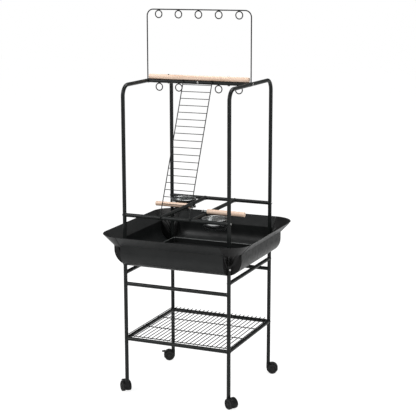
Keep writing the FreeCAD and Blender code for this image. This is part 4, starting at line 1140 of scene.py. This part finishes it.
for name, side_x, side_y, heading in CASTERS:
    turn = math.radians(heading)
    ahead = Vector((math.cos(turn), math.sin(turn), 0))
    across = Vector((-math.sin(turn), math.cos(turn), 0))
    hub = Vector((side_x * LEG_HALF, side_y * LEG_HALF, WHEEL_RADIUS)) + ahead * CASTER_TRAIL
    pair = [turned("wheel", wheel_section(), 64,
                   standing(hub + across * side * WHEEL_INNER, across * side), closed=True)
            for side in (-1, 1)]
    pair += [turned("hub_cap", CAP, 32,
                    standing(hub + across * side * WHEEL_INNER, across * side))
             for side in (-1, 1)]
    spokes = []
    for side in (-1, 1):
        for k in range(SPOKES):
            spoke = bpy.data.meshes.new("spoke")
            build = bmesh.new()
            bmesh.ops.create_cube(build, size=1)
            bmesh.ops.scale(build, vec=(0.0075, 0.0016, 0.0022), verts=build.verts)
            bmesh.ops.translate(build, vec=(0.0115, 0, 0.0128), verts=build.verts)
            angle = math.radians(360 / SPOKES * k + 15)
            bmesh.ops.rotate(build, matrix=Matrix.Rotation(angle, 3, "Z"), verts=build.verts)
            build.to_mesh(spoke)
            build.free()
            spoke.transform(standing(hub + across * side * WHEEL_INNER, across * side))
            spokes.append(spoke)
    wheels = add_piece(name + "_twin_wheels",
                       outward(joined(name + "_twin_wheels", pair + spokes)), tread_plastic, 35)
    stand_for(wheels, name + "_wheels", "caster_plastic", name + "_caster_wheels")

# %% Housings, brake levers and perch clamps
for name, side_x, side_y, heading in CASTERS:
    housing = softened(name + "_caster_housing", name + "_hood", 0.0007, caster_plastic)
    stand_for(housing, name + "_caster", "caster_plastic", name + "_caster_housing")
    if side_x < 0:
        lever = softened(name + "_brake_lever", name + "_lever", 0.0004, caster_plastic)
        stand_for(lever, name + "_brake", "caster_plastic", name + "_brake_lever")
for side in ("left", "right"):
    clamp = softened(side + "_perch_clamp", side + "_strap_clamp", 0.0003, frame_coat)
    stand_for(clamp, "frame", "frame_black", side + "_perch_clamp")

# %% [markdown]
# ## Floor, backdrop and light
# The stand is shown on a plain white floor. Large soft lamps keep the black coat
# readable: it is drawn by long soft highlights, not by the colour. What the camera sees
# directly is white, while the stand itself is lit and mirrored at lower strengths, so
# that a white ground doesn't wash out the black.

# %% Floor
FLOOR_WHITE = 0.86
FLOOR_GLOW = 0.86
FLOOR_UNDER_GLOW = 0.25
FLOOR_HALF = 15
floor_mesh = bpy.data.meshes.new("floor")
floor_mesh.from_pydata([(x * FLOOR_HALF, y * FLOOR_HALF, 0)
                        for x, y in ((-1, -1), (1, -1), (1, 1), (-1, 1))], [], [(0, 1, 2, 3)])
floor_white, nodes, links, shader = new_material("floor_white", (FLOOR_WHITE,) * 3, 0.7)
light_path = nodes.new("ShaderNodeLightPath")
lift = nodes.new("ShaderNodeMath")
lift.operation = "MULTIPLY"
lift.inputs[1].default_value = FLOOR_GLOW
links.new(light_path.outputs["Is Camera Ray"], lift.inputs[0])
shader.inputs["Emission Color"].default_value = (1, 1, 1, 1)
links.new(lift.outputs["Value"], shader.inputs["Emission Strength"])
tint = nodes.new("ShaderNodeMix")
tint.data_type = "RGBA"
tint.inputs["A"].default_value = (FLOOR_WHITE, FLOOR_WHITE, FLOOR_WHITE, 1)
tint.inputs["B"].default_value = (FLOOR_UNDER_GLOW, FLOOR_UNDER_GLOW, FLOOR_UNDER_GLOW, 1)
links.new(light_path.outputs["Is Camera Ray"], tint.inputs["Factor"])
links.new(tint.outputs["Result"], shader.inputs["Base Color"])
floor = add_piece("floor", floor_mesh, floor_white)
print("floor", 2 * FLOOR_HALF, "m wide")

# %% World
WORLD_SEEN = 1.0
WORLD_LIGHT = 0.55
WORLD_MIRRORED = 0.22
world = bpy.data.worlds.new("studio")
world.use_nodes = True
bpy.context.scene.world = world
nodes = world.node_tree.nodes
links = world.node_tree.links
sky = nodes["Background"]
sky.inputs["Color"].default_value = (1, 1, 1, 1)
light_path = nodes.new("ShaderNodeLightPath")
seen = nodes.new("ShaderNodeMath")
seen.operation = "MAXIMUM"
links.new(light_path.outputs["Is Camera Ray"], seen.inputs[0])
links.new(light_path.outputs["Is Transmission Ray"], seen.inputs[1])
mirrored = nodes.new("ShaderNodeMapRange")
mirrored.inputs["To Min"].default_value = WORLD_LIGHT
mirrored.inputs["To Max"].default_value = WORLD_MIRRORED
links.new(light_path.outputs["Is Glossy Ray"], mirrored.inputs["Value"])
strength = nodes.new("ShaderNodeMapRange")
strength.inputs["To Max"].default_value = WORLD_SEEN
links.new(mirrored.outputs["Result"], strength.inputs["To Min"])
links.new(seen.outputs["Value"], strength.inputs["Value"])
links.new(strength.outputs["Result"], sky.inputs["Strength"])
print("world", WORLD_SEEN, "seen,", WORLD_LIGHT, "as light,", WORLD_MIRRORED, "mirrored")


# %% Lamps
def lamp(title, place, target, size, watts):
    """Square soft lamp aimed at the target."""
    data = bpy.data.lights.new(title, "AREA")
    data.size = size
    data.energy = watts
    item = bpy.data.objects.new(title, data)
    item.location = place
    item.rotation_euler = (Vector(target) - Vector(place)).to_track_quat("-Z", "Y").to_euler()
    bpy.context.scene.collection.objects.link(item)


lamp("key", (-2.6, -2.8, 3.2), (0, 0, 0.8), 1.6, 110)
lamp("fill", (3.4, -2.2, 2.0), (0, 0, 0.8), 2.0, 55)
lamp("top", (0.3, 0.6, 3.6), (0, 0, 0.7), 1.8, 70)
bpy.context.scene.view_settings.view_transform = "Standard"
print("three lamps")
